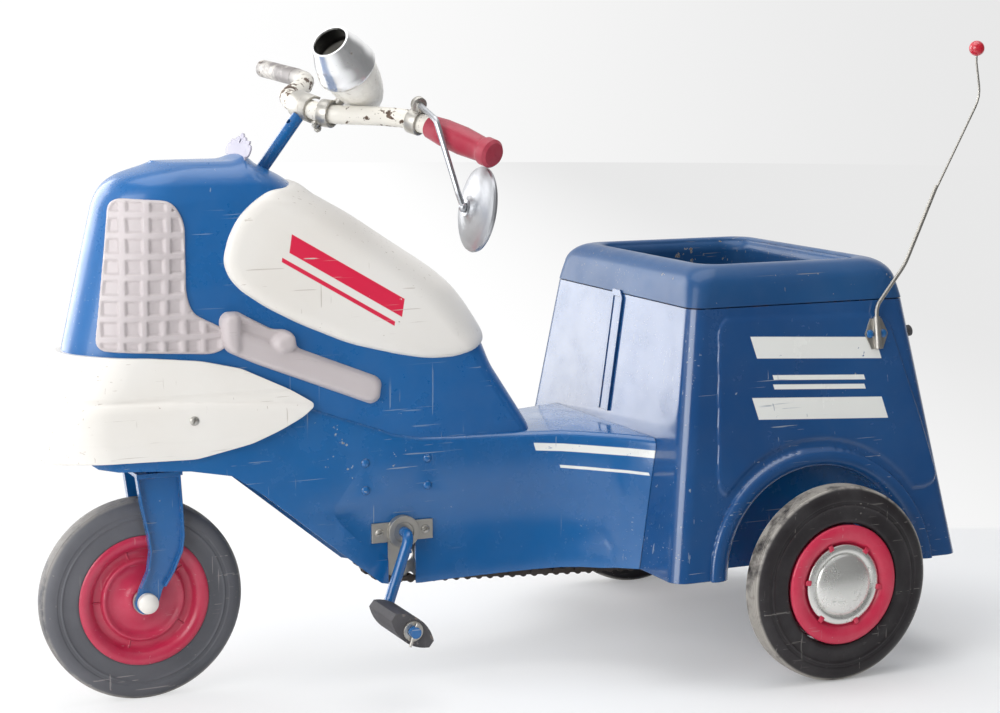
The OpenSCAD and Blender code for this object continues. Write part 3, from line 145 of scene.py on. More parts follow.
def noise(tree, vector, scale, detail=3.0, roughness=0.55):
    inputs = {"Vector": vector, "Scale": scale, "Detail": detail, "Roughness": roughness}
    return new_node(tree, "TexNoise", inputs).outputs["Fac"]


def object_place(tree):
    return new_node(tree, "TexCoord").outputs["Object"]


# %% [markdown]
# ## The studio
# The toy stands on white paper in front of a pale wall. A tall window on the left lights it from in
# front of the nose, a bright panel behind on the left makes the pale sheen on the front of the box,
# and a soft lamp overhead opens the shadows. A round wall far away carries the background, which is
# white on the left and falls off to a pale grey on the right. Glossy surfaces see the same wall, but
# dark on the camera's side, as the room was.

# %% Helpers for the studio
def staged(bm, name, material):
    """Makes a part of the studio, which isn't part of the object."""
    mesh = bpy.data.meshes.new(name)
    bm.to_mesh(mesh)
    bm.free()
    mesh.materials.append(material)
    thing = bpy.data.objects.new(name, mesh)
    bpy.context.scene.collection.objects.link(thing)
    return thing


def glowing(tree, strength):
    return new_node(tree, "Emission", {"Strength": strength}).outputs[0]


def mixed(tree, share, first, second):
    return new_node(tree, "MixShader", {0: share, 1: first, 2: second}).outputs[0]


def area_lamp(name, place, target, width, height, watts, colour=(1.0, 1.0, 1.0)):
    data = bpy.data.lights.new(name, "AREA")
    data.shape = "RECTANGLE"
    data.size, data.size_y = width, height
    data.energy = watts
    data.color = colour
    lamp = bpy.data.objects.new(name, data)
    lamp.location = place
    aim = Vector(target) - Vector(place)
    lamp.rotation_euler = aim.to_track_quat("-Z", "Y").to_euler()
    lamp.visible_camera = False
    bpy.context.scene.collection.objects.link(lamp)
    return lamp


# %% World and lamps
world = bpy.data.worlds.new("studio_air")
bpy.context.scene.world = world
tree = fresh_tree(world)
air = new_node(tree, "Background", {"Color": (0.95, 0.97, 1.0, 1.0), "Strength": 0.5})
new_node(tree, "OutputWorld", {"Surface": air.outputs[0]})
area_lamp("window_left", (-2.3, -1.15, 1.15), (0.0, 0.0, 0.32), 1.9, 1.6, 44, (0.98, 0.99, 1.0))
area_lamp("panel_behind", (-1.45, 2.0, 0.95), (0.1, 0.0, 0.3), 1.9, 1.8, 40)
area_lamp("sky_above", (0.0, 0.1, 2.5), (0.0, 0.0, 0.2), 2.4, 2.0, 34)
bpy.context.scene.view_settings.view_transform = "Standard"

# %% Far wall
WALL_REACH, WALL_HEIGHT = 9.0, 9.0
wall = bpy.data.materials.new("far_wall")
tree = fresh_tree(wall)
place, rays = object_place(tree), new_node(tree, "LightPath").outputs
seen_wall = glowing(tree, slope_value(tree, place, (1.0, 0.0, 0.0), 1.6, 6.4, 1.02, 0.80))
glossy_wall = glowing(tree, slope_value(tree, place, (-0.35, 0.94, 0.0), -4.5, 3.0, 0.10, 1.0))
clear = new_node(tree, "BsdfTransparent").outputs[0]
not_seen = mixed(tree, rays["Is Glossy Ray"], clear, glossy_wall)
new_node(tree, "OutputMaterial", {"Surface": mixed(tree, rays["Is Camera Ray"], not_seen, seen_wall)})
bm = bmesh.new()
foot = bm.verts.new((WALL_REACH, 0.0, -0.02))
head = bm.verts.new((WALL_REACH, 0.0, WALL_HEIGHT))
bmesh.ops.spin(bm, geom=[foot, head, bm.edges.new((foot, head))], cent=(0, 0, 0), axis=(0, 0, 1),
               angle=math.tau, steps=96, use_merge=True)
staged(bm, "far_wall", wall)
print("far wall", WALL_REACH, "m away")

# %% [markdown]
# The paper shows real shadows close to the toy. Behind it and to the left the camera sees a glow instead,
# which meets the wall's tone and, like the wall, falls off to the right as painted light. In front of the toy
# some of that glow is mixed in too, strongly on the left and hardly at all on the right: a painted pool of
# light, with painted shade on the right. Glossy surfaces see the paper in front of the toy dark.

# %% Paper floor
paper = bpy.data.materials.new("paper")
tree = fresh_tree(paper)
place, rays = object_place(tree), new_node(tree, "LightPath").outputs
plain_paper = {"Base Color": (0.90, 0.90, 0.90, 1.0), "Roughness": 0.6, "Specular IOR Level": 0.2}
shade = new_node(tree, "BsdfPrincipled", plain_paper).outputs[0]
glow = glowing(tree, slope_value(tree, place, (0.95, -0.3, 0.0), 0.1, 1.4, 1.02, 0.81))
behind = slope_value(tree, place, (0.4055, 0.9141, 0.0), 0.585, 0.615)
left = slope_value(tree, place, (-0.9141, 0.4055, 0.0), 0.35, 1.0)
# Painted light: in front of the toy the glow is mixed in strongly on the left and hardly at all on the right,
# which is painted shade.
near_painted_light = slope_value(tree, place, (0.95, -0.3, 0.0), -0.35, 0.62, 0.62, 0.06)
front = slope_value(tree, place, (0.35, -0.94, 0.0), 0.1, 1.2, 0.0, 0.9)
glows = maths(tree, "MULTIPLY", largest(tree, [behind, left, near_painted_light]), rays["Is Camera Ray"])
darkens = maths(tree, "MULTIPLY", front, rays["Is Glossy Ray"])
surface = mixed(tree, darkens, mixed(tree, glows, shade, glow), glowing(tree, 0.08))
new_node(tree, "OutputMaterial", {"Surface": surface})
bm = bmesh.new()
bmesh.ops.create_circle(bm, cap_ends=True, radius=WALL_REACH + 0.02, segments=96)
staged(bm, "paper_floor", paper)

# %% [markdown]
# ## Shared effects
# Old paint shows the same few things everywhere: a slow drift of tone, thin scratches, small chips and rubbed
# edges. Each is a node group, built once and placed with its own values in every finish that shows it.
# All of them read Object coordinates, so they stay on the piece in every view and pose.

# %% Helper for shader groups
def start_group(name, floats, outputs):
    """A group with a Vector input, float inputs with their first values, and the named outputs."""
    tree = bpy.data.node_groups.new(name, "ShaderNodeTree")

    def socket(label, way, kind="Float"):
        return tree.interface.new_socket(name=label, in_out=way, socket_type="NodeSocket" + kind)

    socket("Vector", "INPUT", "Vector")
    for label, value in floats.items():
        socket(label, "INPUT").default_value = value
    for label in outputs:
        socket(label, "OUTPUT", "Vector" if label == "Normal" else "Float")
    return tree, tree.nodes.new("NodeGroupInput").outputs, tree.nodes.new("NodeGroupOutput").inputs


# %% Tone, scratches and chips
tree, given, result = start_group("slow_tone", {"Scale": 5.0}, ["Tone", "Cloud"])
tone_group = tree
slow = noise(tree, given["Vector"], given["Scale"], 2.0)
cloud = noise(tree, given["Vector"], maths(tree, "MULTIPLY", given["Scale"], 5.0), 5.0, 0.65)
tree.links.new(step_up(tree, slow, 0.32, 0.68), result["Tone"])
tree.links.new(step_up(tree, cloud, 0.35, 0.7), result["Cloud"])

tree, given, result = start_group("thin_scratches", {"Amount": 0.5}, ["Mask"])
scratch_group = tree
streaks = []
for turn, scale, limit in (((0, 12, 0), (9.0, 320.0, 320.0), 0.70), ((0, 68, 0), (300.0, 300.0, 12.0), 0.715),
                           ((8, -28, 0), (14.0, 420.0, 420.0), 0.71)):
    stretch = {"Vector": given["Vector"], "Rotation": [math.radians(a) for a in turn], "Scale": scale}
    streak = noise(tree, new_node(tree, "Mapping", stretch).outputs[0], 1.0, 2.0, 0.5)
    streaks.append(step_up(tree, streak, limit, limit + 0.02))
patch = step_up(tree, noise(tree, given["Vector"], 7.0, 2.0), 0.46, 0.56)
thin = maths(tree, "MULTIPLY", largest(tree, streaks), patch)
tree.links.new(maths(tree, "MULTIPLY", thin, given["Amount"], clamp=True), result["Mask"])

tree, given, result = start_group("small_chips", {"Size": 120.0, "Amount": 0.5}, ["Mask", "Core"])
chip_group = tree
field = noise(tree, given["Vector"], 11.0, 3.0, 0.6)
grain = noise(tree, given["Vector"], given["Size"], 4.0, 0.6)
level = maths(tree, "ADD", maths(tree, "MULTIPLY", field, 0.55), maths(tree, "MULTIPLY", grain, 0.6))
limit = maths(tree, "SUBTRACT", 0.82, maths(tree, "MULTIPLY", given["Amount"], 0.16))
for label, low, high in (("Mask", 0.0, 0.012), ("Core", 0.02, 0.04)):
    low_limit = maths(tree, "ADD", limit, low) if low else limit
    tree.links.new(step_up(tree, level, low_limit, maths(tree, "ADD", limit, high)), result[label])

# %% Rubbed and rounded edges
tree, given, result = start_group("rubbed_edge", {"Amount": 0.5}, ["Mask", "Normal"])
edge_group = tree
round_edge = new_node(tree, "Bevel", {"Radius": 0.0011}, samples=4).outputs[0]
plain = new_node(tree, "NewGeometry").outputs["Normal"]
bent = maths(tree, "SUBTRACT", 1.0, vector_maths(tree, "DOT_PRODUCT", round_edge, plain))
bite = noise(tree, given["Vector"], 70.0, 4.0, 0.65)
rub = maths(tree, "MULTIPLY", step_up(tree, bent, 0.01, 0.12), step_up(tree, bite, 0.5, 0.62))
tree.links.new(maths(tree, "MULTIPLY", rub, given["Amount"], clamp=True), result["Mask"])
tree.links.new(round_edge, result["Normal"])
print("groups", [g.name for g in bpy.data.node_groups])

# %% [markdown]
# ## Finishes
# One helper lays out what all worn finishes share: two close tones of the ground colour, faded
# patches, scratches and chips that show what lies below, and a fine bump. Each finish then gets its
# own values. The shader itself stays in the material, and steady values are set on its sockets.

# %% Helper for worn finishes
def group_node(tree, group, place, **values):
    return new_node(tree, "Group", {"Vector": place, **values}, node_tree=group).outputs


def blend_colour(tree, mask, first, second, strength=1.0):
    if strength != 1.0:
        mask = maths(tree, "MULTIPLY", mask, strength)
    first, second = ((*c, 1.0) if isinstance(c, tuple) else c for c in (first, second))
    return new_node(tree, "Mix", {0: mask, 6: first, 7: second}, data_type="RGBA").outputs[2]


def worn_finish(name, deep, light, under, core, rough, chips=0.4, chip_size=120.0, scratches=0.5, edges=0.5,
                coat=0.0, metallic=0.0, peel=0.03, peel_scale=900.0, tone=0.5, fade=0.15, specular=0.5,
                under_metal=0.0):
    material = bpy.data.materials.new(name)
    tree = fresh_tree(material)
    place = object_place(tree)
    drift = group_node(tree, tone_group, place, Scale=5.0)
    colour = blend_colour(tree, drift["Tone"], deep, light, tone)
    faded = tuple(min(1.0, 0.75 * c + 0.2) for c in light)
    colour = blend_colour(tree, drift["Cloud"], colour, faded, fade)
    bump = {"Strength": 0.5, "Distance": 0.0005}
    marks = []
    if scratches:
        marks.append(group_node(tree, scratch_group, place, Amount=scratches)["Mask"])
        colour = blend_colour(tree, marks[-1], colour, under)
    chip = group_node(tree, chip_group, place, Size=chip_size, Amount=chips)
    marks.append(chip["Mask"])
    colour = blend_colour(tree, chip["Mask"], colour, under)
    colour = blend_colour(tree, chip["Core"], colour, core, 0.8)
    if edges:
        rub = group_node(tree, edge_group, place, Amount=edges)
        marks.append(rub["Mask"])
        colour = blend_colour(tree, rub["Mask"], colour, core)
        bump["Normal"] = rub["Normal"]
    worn = largest(tree, marks)
    sunk = maths(tree, "MULTIPLY", worn, 0.25)
    fine = maths(tree, "MULTIPLY", noise(tree, place, peel_scale, 2.0), peel)
    bump["Height"] = maths(tree, "SUBTRACT", fine, sunk)
    roughness = maths(tree, "ADD", maths(tree, "MULTIPLY", drift["Cloud"], 0.12), rough)
    shader = new_node(tree, "BsdfPrincipled", {
        "Base Color": colour,
        "Metallic": maths(tree, "MULTIPLY", worn, under_metal) if under_metal else metallic,
        "Roughness": maths(tree, "ADD", roughness, sunk, clamp=True),
        "Specular IOR Level": specular,
        "Coat Weight": coat,
        "Coat Roughness": 0.08,
        "Normal": new_node(tree, "Bump", bump).outputs[0],
    })
    new_node(tree, "OutputMaterial", {"Surface": shader.outputs[0]})
    return material


# %% [markdown]
# The steel is enamelled a strong blue that has dulled and chipped to a pale primer and rust. The box and its
# cap carry a darker copy of that blue, which is painted shade for the box standing farther from the window;
# the cap's copy is also more worn. The moulded cowl is a slightly clearer blue. The covers are a warm white
# that has yellowed, the grille a mauve grey, and the wheels and the grip a raspberry red. Zinc, chrome and
# rubber complete it.

# %% The finishes
rubber = dict(chips=0.45, chip_size=240.0, scratches=0.9, edges=0.0, peel=0.25, peel_scale=420.0, tone=0.8,
              fade=0.08)
wheel_paint = dict(chips=0.35, scratches=0.35, edges=0.35, coat=0.25)
finish_table = {
    "blue_enamel": ((0.005, 0.1, 0.3), (0.009, 0.135, 0.38), (0.36, 0.4, 0.44), (0.1, 0.045, 0.025), 0.2,
                    dict(chips=0.42, scratches=0.55, edges=0.75, coat=0.5, fade=0.03)),
    "blue_moulded": ((0.006, 0.105, 0.32), (0.01, 0.14, 0.4), (0.3, 0.38, 0.5), (0.25, 0.25, 0.27), 0.26,
                     dict(chips=0.2, scratches=0.5, edges=0.3, coat=0.25, fade=0.03)),
    # The box's blue and the cap's blue below are darker copies of the blue enamel: painted shade for the box,
    # which stands farther from the window.
    "box_enamel_shaded": ((0.008, 0.058, 0.185), (0.012, 0.085, 0.25), (0.3, 0.34, 0.38), (0.1, 0.045, 0.025), 0.17,
                   dict(chips=0.45, scratches=0.8, edges=0.75, coat=0.6, fade=0.02)),
    "cap_enamel_shaded": ((0.01, 0.062, 0.18), (0.016, 0.095, 0.25), (0.32, 0.3, 0.27), (0.11, 0.05, 0.03), 0.34,
                   dict(chips=0.62, scratches=0.6, edges=0.9, coat=0.15, fade=0.03, specular=0.3)),
    "warm_white": ((0.78, 0.74, 0.68), (0.86, 0.84, 0.8), (0.42, 0.36, 0.3), (0.3, 0.24, 0.19), 0.32,
                   dict(chips=0.25, chip_size=160.0, scratches=0.55, edges=0.25, fade=0.1)),
    "mauve_grey": ((0.52, 0.46, 0.46), (0.6, 0.55, 0.55), (0.38, 0.33, 0.32), (0.25, 0.2, 0.18), 0.42,
                   dict(chips=0.15, scratches=0.3, edges=0.3, fade=0.12)),
    "worn_white": ((0.74, 0.7, 0.62), (0.84, 0.81, 0.74), (0.16, 0.11, 0.08), (0.09, 0.06, 0.045), 0.35,
                   dict(chips=0.95, chip_size=90.0, scratches=0.8, edges=0.6, under_metal=0.5)),
    "lamp_white": ((0.78, 0.75, 0.68), (0.86, 0.84, 0.79), (0.3, 0.24, 0.18), (0.16, 0.1, 0.07), 0.26,
                   dict(chips=0.5, chip_size=140.0, scratches=0.5, edges=0.3, coat=0.2)),
    "wheel_red": ((0.52, 0.012, 0.05), (0.64, 0.024, 0.08), (0.5, 0.3, 0.32), (0.16, 0.04, 0.03), 0.3,
                  wheel_paint),
    "front_red": ((0.46, 0.014, 0.055), (0.58, 0.026, 0.085), (0.62, 0.36, 0.38), (0.16, 0.04, 0.03), 0.3,
                  wheel_paint),
    "red_rubber": ((0.33, 0.01, 0.035), (0.43, 0.018, 0.05), (0.6, 0.18, 0.22), (0.25, 0.01, 0.02), 0.34,
                   dict(chips=0.2, scratches=0.5, edges=0.0, peel=0.08, peel_scale=500.0)),
    "red_gloss": ((0.5, 0.004, 0.02), (0.58, 0.008, 0.03), (0.65, 0.2, 0.22), (0.3, 0.01, 0.02), 0.15,
                  dict(chips=0.1, scratches=0.2, edges=0.0, coat=0.5)),
    "front_rubber": ((0.07, 0.072, 0.082), (0.13, 0.13, 0.145), (0.26, 0.24, 0.24), (0.36, 0.33, 0.31), 0.5,
                     rubber),
    "tyre_rubber": ((0.011, 0.009, 0.01), (0.026, 0.022, 0.024), (0.16, 0.15, 0.14), (0.26, 0.24, 0.22), 0.36,
                    dict(rubber, specular=0.35)),
    "pedal_rubber": ((0.055, 0.052, 0.056), (0.085, 0.08, 0.085), (0.22, 0.2, 0.19), (0.16, 0.12, 0.1), 0.6,
                     dict(chips=0.5, chip_size=200.0, scratches=0.6, edges=0.3, peel=0.35,
                          peel_scale=350.0, specular=0.3)),
    "dull_zinc": ((0.46, 0.44, 0.4), (0.58, 0.56, 0.52), (0.3, 0.25, 0.2), (0.13, 0.08, 0.05), 0.36,
                  dict(chips=0.5, chip_size=200.0, scratches=0.4, edges=0.2, metallic=0.85, peel=0.12,
                       peel_scale=500.0, fade=0.05)),
    "chain_steel": ((0.06, 0.05, 0.045), (0.12, 0.1, 0.085), (0.14, 0.08, 0.05), (0.1, 0.05, 0.03), 0.42,
                    dict(chips=0.6, chip_size=260.0, scratches=0.0, edges=0.0, metallic=0.8, peel=0.2)),
    "hubcap_metal": ((0.8, 0.8, 0.76), (0.95, 0.94, 0.9), (0.44, 0.46, 0.41), (0.28, 0.29, 0.26), 0.2,
                     dict(chips=0.6, chip_size=150.0, scratches=0.6, edges=0.0, metallic=0.75, peel=0.1,
                          peel_scale=300.0, fade=0.08)),
    "lamp_chrome": ((0.8, 0.8, 0.8), (0.88, 0.88, 0.88), (0.4, 0.34, 0.28), (0.16, 0.1, 0.07), 0.14,
                    dict(chips=0.5, chip_size=200.0, scratches=0.4, edges=0.0, metallic=0.75, peel=0.1,
                         peel_scale=260.0, fade=0.04)),
    "rod_metal": ((0.42, 0.43, 0.45), (0.56, 0.57, 0.59), (0.3, 0.26, 0.22), (0.14, 0.1, 0.07), 0.3,
                  dict(chips=0.35, chip_size=300.0, scratches=0.4, edges=0.0, metallic=0.8, peel=0.05,
                       fade=0.05)),
    "lilac_plate": ((0.36, 0.34, 0.42), (0.47, 0.45, 0.54), (0.3, 0.27, 0.3), (0.2, 0.17, 0.16), 0.45,
                    dict(chips=0.3, chip_size=160.0, scratches=0.4, edges=0.3, fade=0.08)),
    "mirror_glass": ((0.8, 0.82, 0.83), (0.84, 0.86, 0.87), (0.5, 0.48, 0.45), (0.3, 0.26, 0.22), 0.02,
                     dict(chips=0.1, scratches=0.1, edges=0.0, metallic=1.0, peel=0.0, fade=0.02)),
}
finish = {name: worn_finish(name, *values, **options) for name, (*values, options) in finish_table.items()}
print("finishes", len(finish))

# %% [markdown]
# ## Painted marks
# The real toy carries lettering and a badge, which are left off here. Plain worn bands of the same
# colours and about the same size take their places: red ones on the tank cover, and white ones on
# the box and the deck. Each is a mask worked out from the side view's coordinates.

# %% Helpers for marks
def opened(material):
    """The tree of a finish and the Object coordinates in it."""
    tree = material.node_tree
    return tree, next(node for node in tree.nodes if node.type == "TEX_COORD").outputs["Object"]


def lay_over(tree, mask, colour):
    """Lays a colour over what a finish shows, wherever the mask is 1."""
    base = next(node for node in tree.nodes if node.type == "BSDF_PRINCIPLED").inputs["Base Color"]
    tree.links.new(blend_colour(tree, mask, base.links[0].from_socket, colour), base)


def split_xyz(tree, vector):
    return new_node(tree, "SeparateXYZ", {0: vector}).outputs


def band_mask(tree, place, centre, tilt, length, width, slant):
    """1 inside a band whose middle is at centre = (x, z), tilted in the side view, with slanted ends."""
    soft = 0.0003
    frame_of_band = {"Vector": place, "Location": (centre[0], 0.0, centre[1]),
                     "Rotation": (0.0, math.radians(-tilt), 0.0)}
    along, _, up = split_xyz(tree, new_node(tree, "Mapping", frame_of_band, vector_type="TEXTURE").outputs[0])
    along = maths(tree, "ADD", along, maths(tree, "MULTIPLY", up, slant))
    inside = []
    for value, size in ((along, length), (up, width)):
        outside = step_up(tree, maths(tree, "ABSOLUTE", value), size / 2 - soft, size / 2 + soft)
        inside.append(maths(tree, "SUBTRACT", 1.0, outside))
    return maths(tree, "MULTIPLY", *inside)


def with_bands(base, name, bands, colour, wear):
    """A copy of a finish that carries painted bands, rubbed and scratched away in places."""
    material = finish[name] = finish[base].copy()
    material.name = name
    tree, place = opened(material)
    mask = largest(tree, [band_mask(tree, place, *band) for band in bands])
    rubbed = step_up(tree, noise(tree, place, 95.0, 6.0, 0.75), 0.72 - 0.12 * wear, 0.74 - 0.12 * wear)
    gone = largest(tree, [rubbed, group_node(tree, scratch_group, place, Amount=1.0)["Mask"]])
    lay_over(tree, maths(tree, "MULTIPLY", mask, maths(tree, "SUBTRACT", 1.0, gone)), colour)


# %% Bands on the tank, the box and the deck
PAINTED_RED, PAINTED_WHITE = (0.72, 0.012, 0.06), (0.80, 0.80, 0.76)
with_bands("warm_white", "tank_banded",
           [((-0.177, 0.421), -30.5, 0.136, 0.017, 0.4), ((-0.186, 0.4055), -30.5, 0.136, 0.004, 0.4)],
           PAINTED_RED, 0.1)
with_bands("box_enamel_shaded", "box_banded",
           [((0.299, 0.336), -3.2, 0.150, 0.022, 0.35), ((0.300, 0.3055), -3.2, 0.110, 0.005, 0.35),
            ((0.300, 0.296), -3.2, 0.110, 0.005, 0.35), ((0.300, 0.274), -3.2, 0.156, 0.022, 0.35)],
           PAINTED_WHITE, 0.45)
with_bands("blue_enamel", "frame_banded",
           [((0.082, 0.2315), -3.4, 0.112, 0.008, 0.35), ((0.091, 0.2105), -4.0, 0.078, 0.003, 0.35)],
           PAINTED_WHITE, 0.6)
print("banded", [name for name in finish if name.endswith("banded")])

# %% [markdown]
# Two more marks are laid on. The bare end of the handlebar is dark in cloudy patches, where the missing grip
# rubbed it, which tells how the toy was used. The inside of the lamp's flared ring is coloured almost black,
# a painted shade for the lamp's hollow mouth.

# %% Bare bar end and lamp ring
LAMP_MIDDLE = Vector((-461.0, -45.0, 626.0))
LAMP_WAY = Vector((-0.612, -0.435, 0.661)).normalized()

tree, place = opened(finish["worn_white"])
reach = step_up(tree, split_xyz(tree, place)[1], 0.060, 0.150)
patch = step_up(tree, noise(tree, place, 38.0, 5.0, 0.7), 0.36, 0.56)
cloudy = maths(tree, "ADD", maths(tree, "MULTIPLY", patch, 0.65), 0.35)
lay_over(tree, maths(tree, "MULTIPLY", reach, cloudy), (0.17, 0.15, 0.145))

# Painted shade: the inside of the lamp's flared ring is coloured almost black, where the hollow mouth lies in
# shade.
ring_reach, ring_depth, ring_spread = 0.0175, 0.034, 0.39
tree, place = opened(finish["lamp_chrome"])
away = vector_maths(tree, "SUBTRACT", place, at(*LAMP_MIDDLE))
along = vector_maths(tree, "DOT_PRODUCT", away, LAMP_WAY)
radius = vector_maths(tree, "LENGTH", vector_maths(tree, "CROSS_PRODUCT", away, LAMP_WAY))
flare = maths(tree, "MULTIPLY", maths(tree, "SUBTRACT", ring_depth, along), ring_spread)
ring_wall = maths(tree, "ADD", flare, ring_reach)
mask = step_up(tree, maths(tree, "SUBTRACT", ring_wall, radius), -0.0001, 0.0001)
lay_over(tree, maths(tree, "MULTIPLY", mask, step_up(tree, along, 0.008, 0.012)), (0.015, 0.014, 0.016))
print("marks laid on the bar and the lamp ring")

# %% [markdown]
# ## Dressing the CAD pieces
# The CAD pieces come as loose triangles. Welding the points, smoothing the faces and splitting the
# sharp edges keeps each shape and makes its rounds look round.

# %% Smooth shading and finishes on the CAD pieces
finish_of = {
    "frame_banded": "frame_shell",
    "box_banded": "box_shell",
    "box_enamel_shaded": "front_strip",
    "blue_enamel": "cross_brace head_tube rivets box_tub wheel_well_left wheel_well_right fork steering_post "
                   "crank",
    "blue_moulded": "cowl_left cowl_right",
    "tank_banded": "tank_left tank_right",
    "warm_white": "fairing_left fairing_right axle_caps",
    "mauve_grey": "grille_left grille_right engine_left engine_right",
    "lilac_plate": "badge_plate",
    "worn_white": "handlebar",
    "lamp_white": "lamp_shell",
    "wheel_red": "front_disc rear_wheel_left rear_wheel_right",
    "red_rubber": "grip_left",
    "red_gloss": "antenna_ball",
    "tyre_rubber": "front_tyre rear_tyre_left rear_tyre_right",
    "pedal_rubber": "pedal_left pedal_right rear_button",
    "dull_zinc": "slotted_screws head_bushes antenna_bracket antenna_mast crank_hanger_left crank_bearings "
                 "crank_hanger_right axle_hangers front_axle bar_clamp clamp_bolt lamp_clamp mirror_clamp "
                 "front_bearings chain_wheel pedal_keepers rear_axle rear_sprocket",
    "chain_steel": "drive_chain",
    "lamp_chrome": "lamp_bezel",
    "rod_metal": "mirror_rod mirror_back",
    "mirror_glass": "mirror_glass",
}


def crease_split(piece, degrees):
    split = piece.modifiers.new("split", "EDGE_SPLIT")
    split.split_angle = math.radians(degrees)
    split.use_edge_sharp = False


dressed = 0
for finish_name, names in finish_of.items():
    for name in names.split():
        piece = nodes[name]
        weld = piece.modifiers.new("weld", "WELD")
        weld.merge_threshold = 0.00001
        piece.data.polygons.foreach_set("use_smooth", [True] * len(piece.data.polygons))
        crease_split(piece, 32.0)
        if not piece.data.materials:
            piece.data.materials.append(None)
        for i in range(len(piece.data.materials)):
            piece.data.materials[i] = finish[finish_name]
        dressed += 1
print("dressed", dressed, "of", len(nodes))

# %% [markdown]
# ## Wheels
# The tyres are solid rubber, moulded with a bead at the rim, a thin raised ring on the side and fine
# ribs across the tread. A profile spun round the axle gives all of that, and the tread's ribs are
# simply steps in the profile. The same helper spins the pressed wheels and hubcaps.

# %% Helpers for new pieces
def finished_piece(bm, name, body, material, stands_for=(), crease=None, smooth=True):
    """Turns a mesh under construction into a named piece that rides on a body of the CAD model."""
    bmesh.ops.recalc_face_normals(bm, faces=bm.faces)
    for face in bm.faces:
        face.smooth = smooth
    mesh = bpy.data.meshes.new(name)
    bm.to_mesh(mesh)
    bm.free()
    mesh.materials.append(finish[material])
    piece = bpy.data.objects.new(name, mesh)
    bpy.context.scene.collection.objects.link(piece)
    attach(piece, body)
    if stands_for:
        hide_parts(*stands_for)
    if crease:
        crease_split(piece, crease)
    print(name, len(mesh.polygons), "faces")
    return piece


def spin_round(bm, points, closed, centre, axis, steps):
    """Spins a chain of points once round an axis."""
    verts = [bm.verts.new(point) for point in points]
    edges = [bm.edges.new(pair) for pair in zip(verts, verts[1:] + verts[:1] if closed else verts[1:])]
    bmesh.ops.spin(bm, geom=verts + edges, cent=centre, axis=axis, angle=math.tau, steps=steps,
                   use_merge=True)
    bmesh.ops.remove_doubles(bm, verts=bm.verts, dist=1e-6)


def spun(profile, centre, steps, closed=True):
    """A profile of (radius, distance along Y) spun round an axle that runs along Y."""
    bm = bmesh.new()
    points = [centre + Vector((r, y, 0.0)) * MM for r, y in profile]
    spin_round(bm, points, closed, centre, (0.0, 1.0, 0.0), steps)
    return bm


def both_faces(face, between=()):
    return face + list(between) + [(r, -y) for r, y in reversed(face)]


# %% Tyres
AXLE_UP, WHEEL_OUT = 101.6, 228
wheels = {
    "front": ("front_wheel", at(-667, 0, AXLE_UP)),
    "left": ("rear_axle", at(0, -WHEEL_OUT, AXLE_UP)),
    "right": ("right_wheel", at(0, WHEEL_OUT, AXLE_UP)),
}
tyre_side = [(63.4, 11.0), (64.4, 13.0), (66.0, 13.9), (69.0, 14.2), (74.0, 13.6), (79.5, 13.7), (81.6, 14.1),
             (82.1, 14.6), (83.2, 14.6), (83.8, 14.1), (86.5, 14.2), (87.0, 14.7), (88.0, 14.8), (90.5, 14.9),
             (93.5, 14.4), (96.5, 13.0), (99.0, 11.0), (100.3, 9.0)]
RIB_PITCH, RIB_DEPTH, RIB_FOOT, RIB_TOP = 2.6, 0.9, 1.05, 0.75
tread = []
for i in range(-3, 4):
    crown, middle = 101.55 - 0.045 * i * i, i * RIB_PITCH
    tread += [(crown - RIB_DEPTH, middle - RIB_FOOT), (crown, middle - RIB_TOP),
              (crown, middle + RIB_TOP), (crown - RIB_DEPTH, middle + RIB_FOOT)]


def tyre_finish(base, name, centre, dust):
    """The tyre rubber with a band of pale road dust that lies on the tread only."""
    material = finish[name] = finish[base].copy()
    material.name = name
    tree, place = opened(material)
    centred = new_node(tree, "Mapping", {"Vector": place, "Location": [-c for c in centre]}).outputs[0]
    x, _, z = split_xyz(tree, centred)
    reach = vector_maths(tree, "LENGTH", new_node(tree, "CombineXYZ", {0: x, 2: z}).outputs[0])
    band = step_up(tree, reach, 0.0975, 0.1003)
    patch = step_up(tree, noise(tree, place, 28.0, 4.0, 0.7), 0.30, 0.55)
    dusty = maths(tree, "MULTIPLY", maths(tree, "MULTIPLY", band, patch), dust)
    lay_over(tree, dusty, (0.42, 0.39, 0.35))


for side, base, dust, node in (("front", "front_rubber", 0.55, "front_tyre"),
                               ("left", "tyre_rubber", 0.9, "rear_tyre_left"),
                               ("right", "tyre_rubber", 0.9, "rear_tyre_right")):
    body, centre = wheels[side]
    bm = spun(both_faces(tyre_side, reversed(tread)), centre, 128)
    tyre_finish(base, "tyre_rubber_" + side, centre, dust)
    finished_piece(bm, "moulded_tyre_" + side, body, "tyre_rubber_" + side, (node,), 40.0)

# %% [markdown]
# The wheels are two thin pressings. The front one shows a rolled lip, a sunken ring with five short
# radial marks, and a dish round the bearing. The rear ones are covered by a hubcap that six small
# tabs of the wheel hold down.

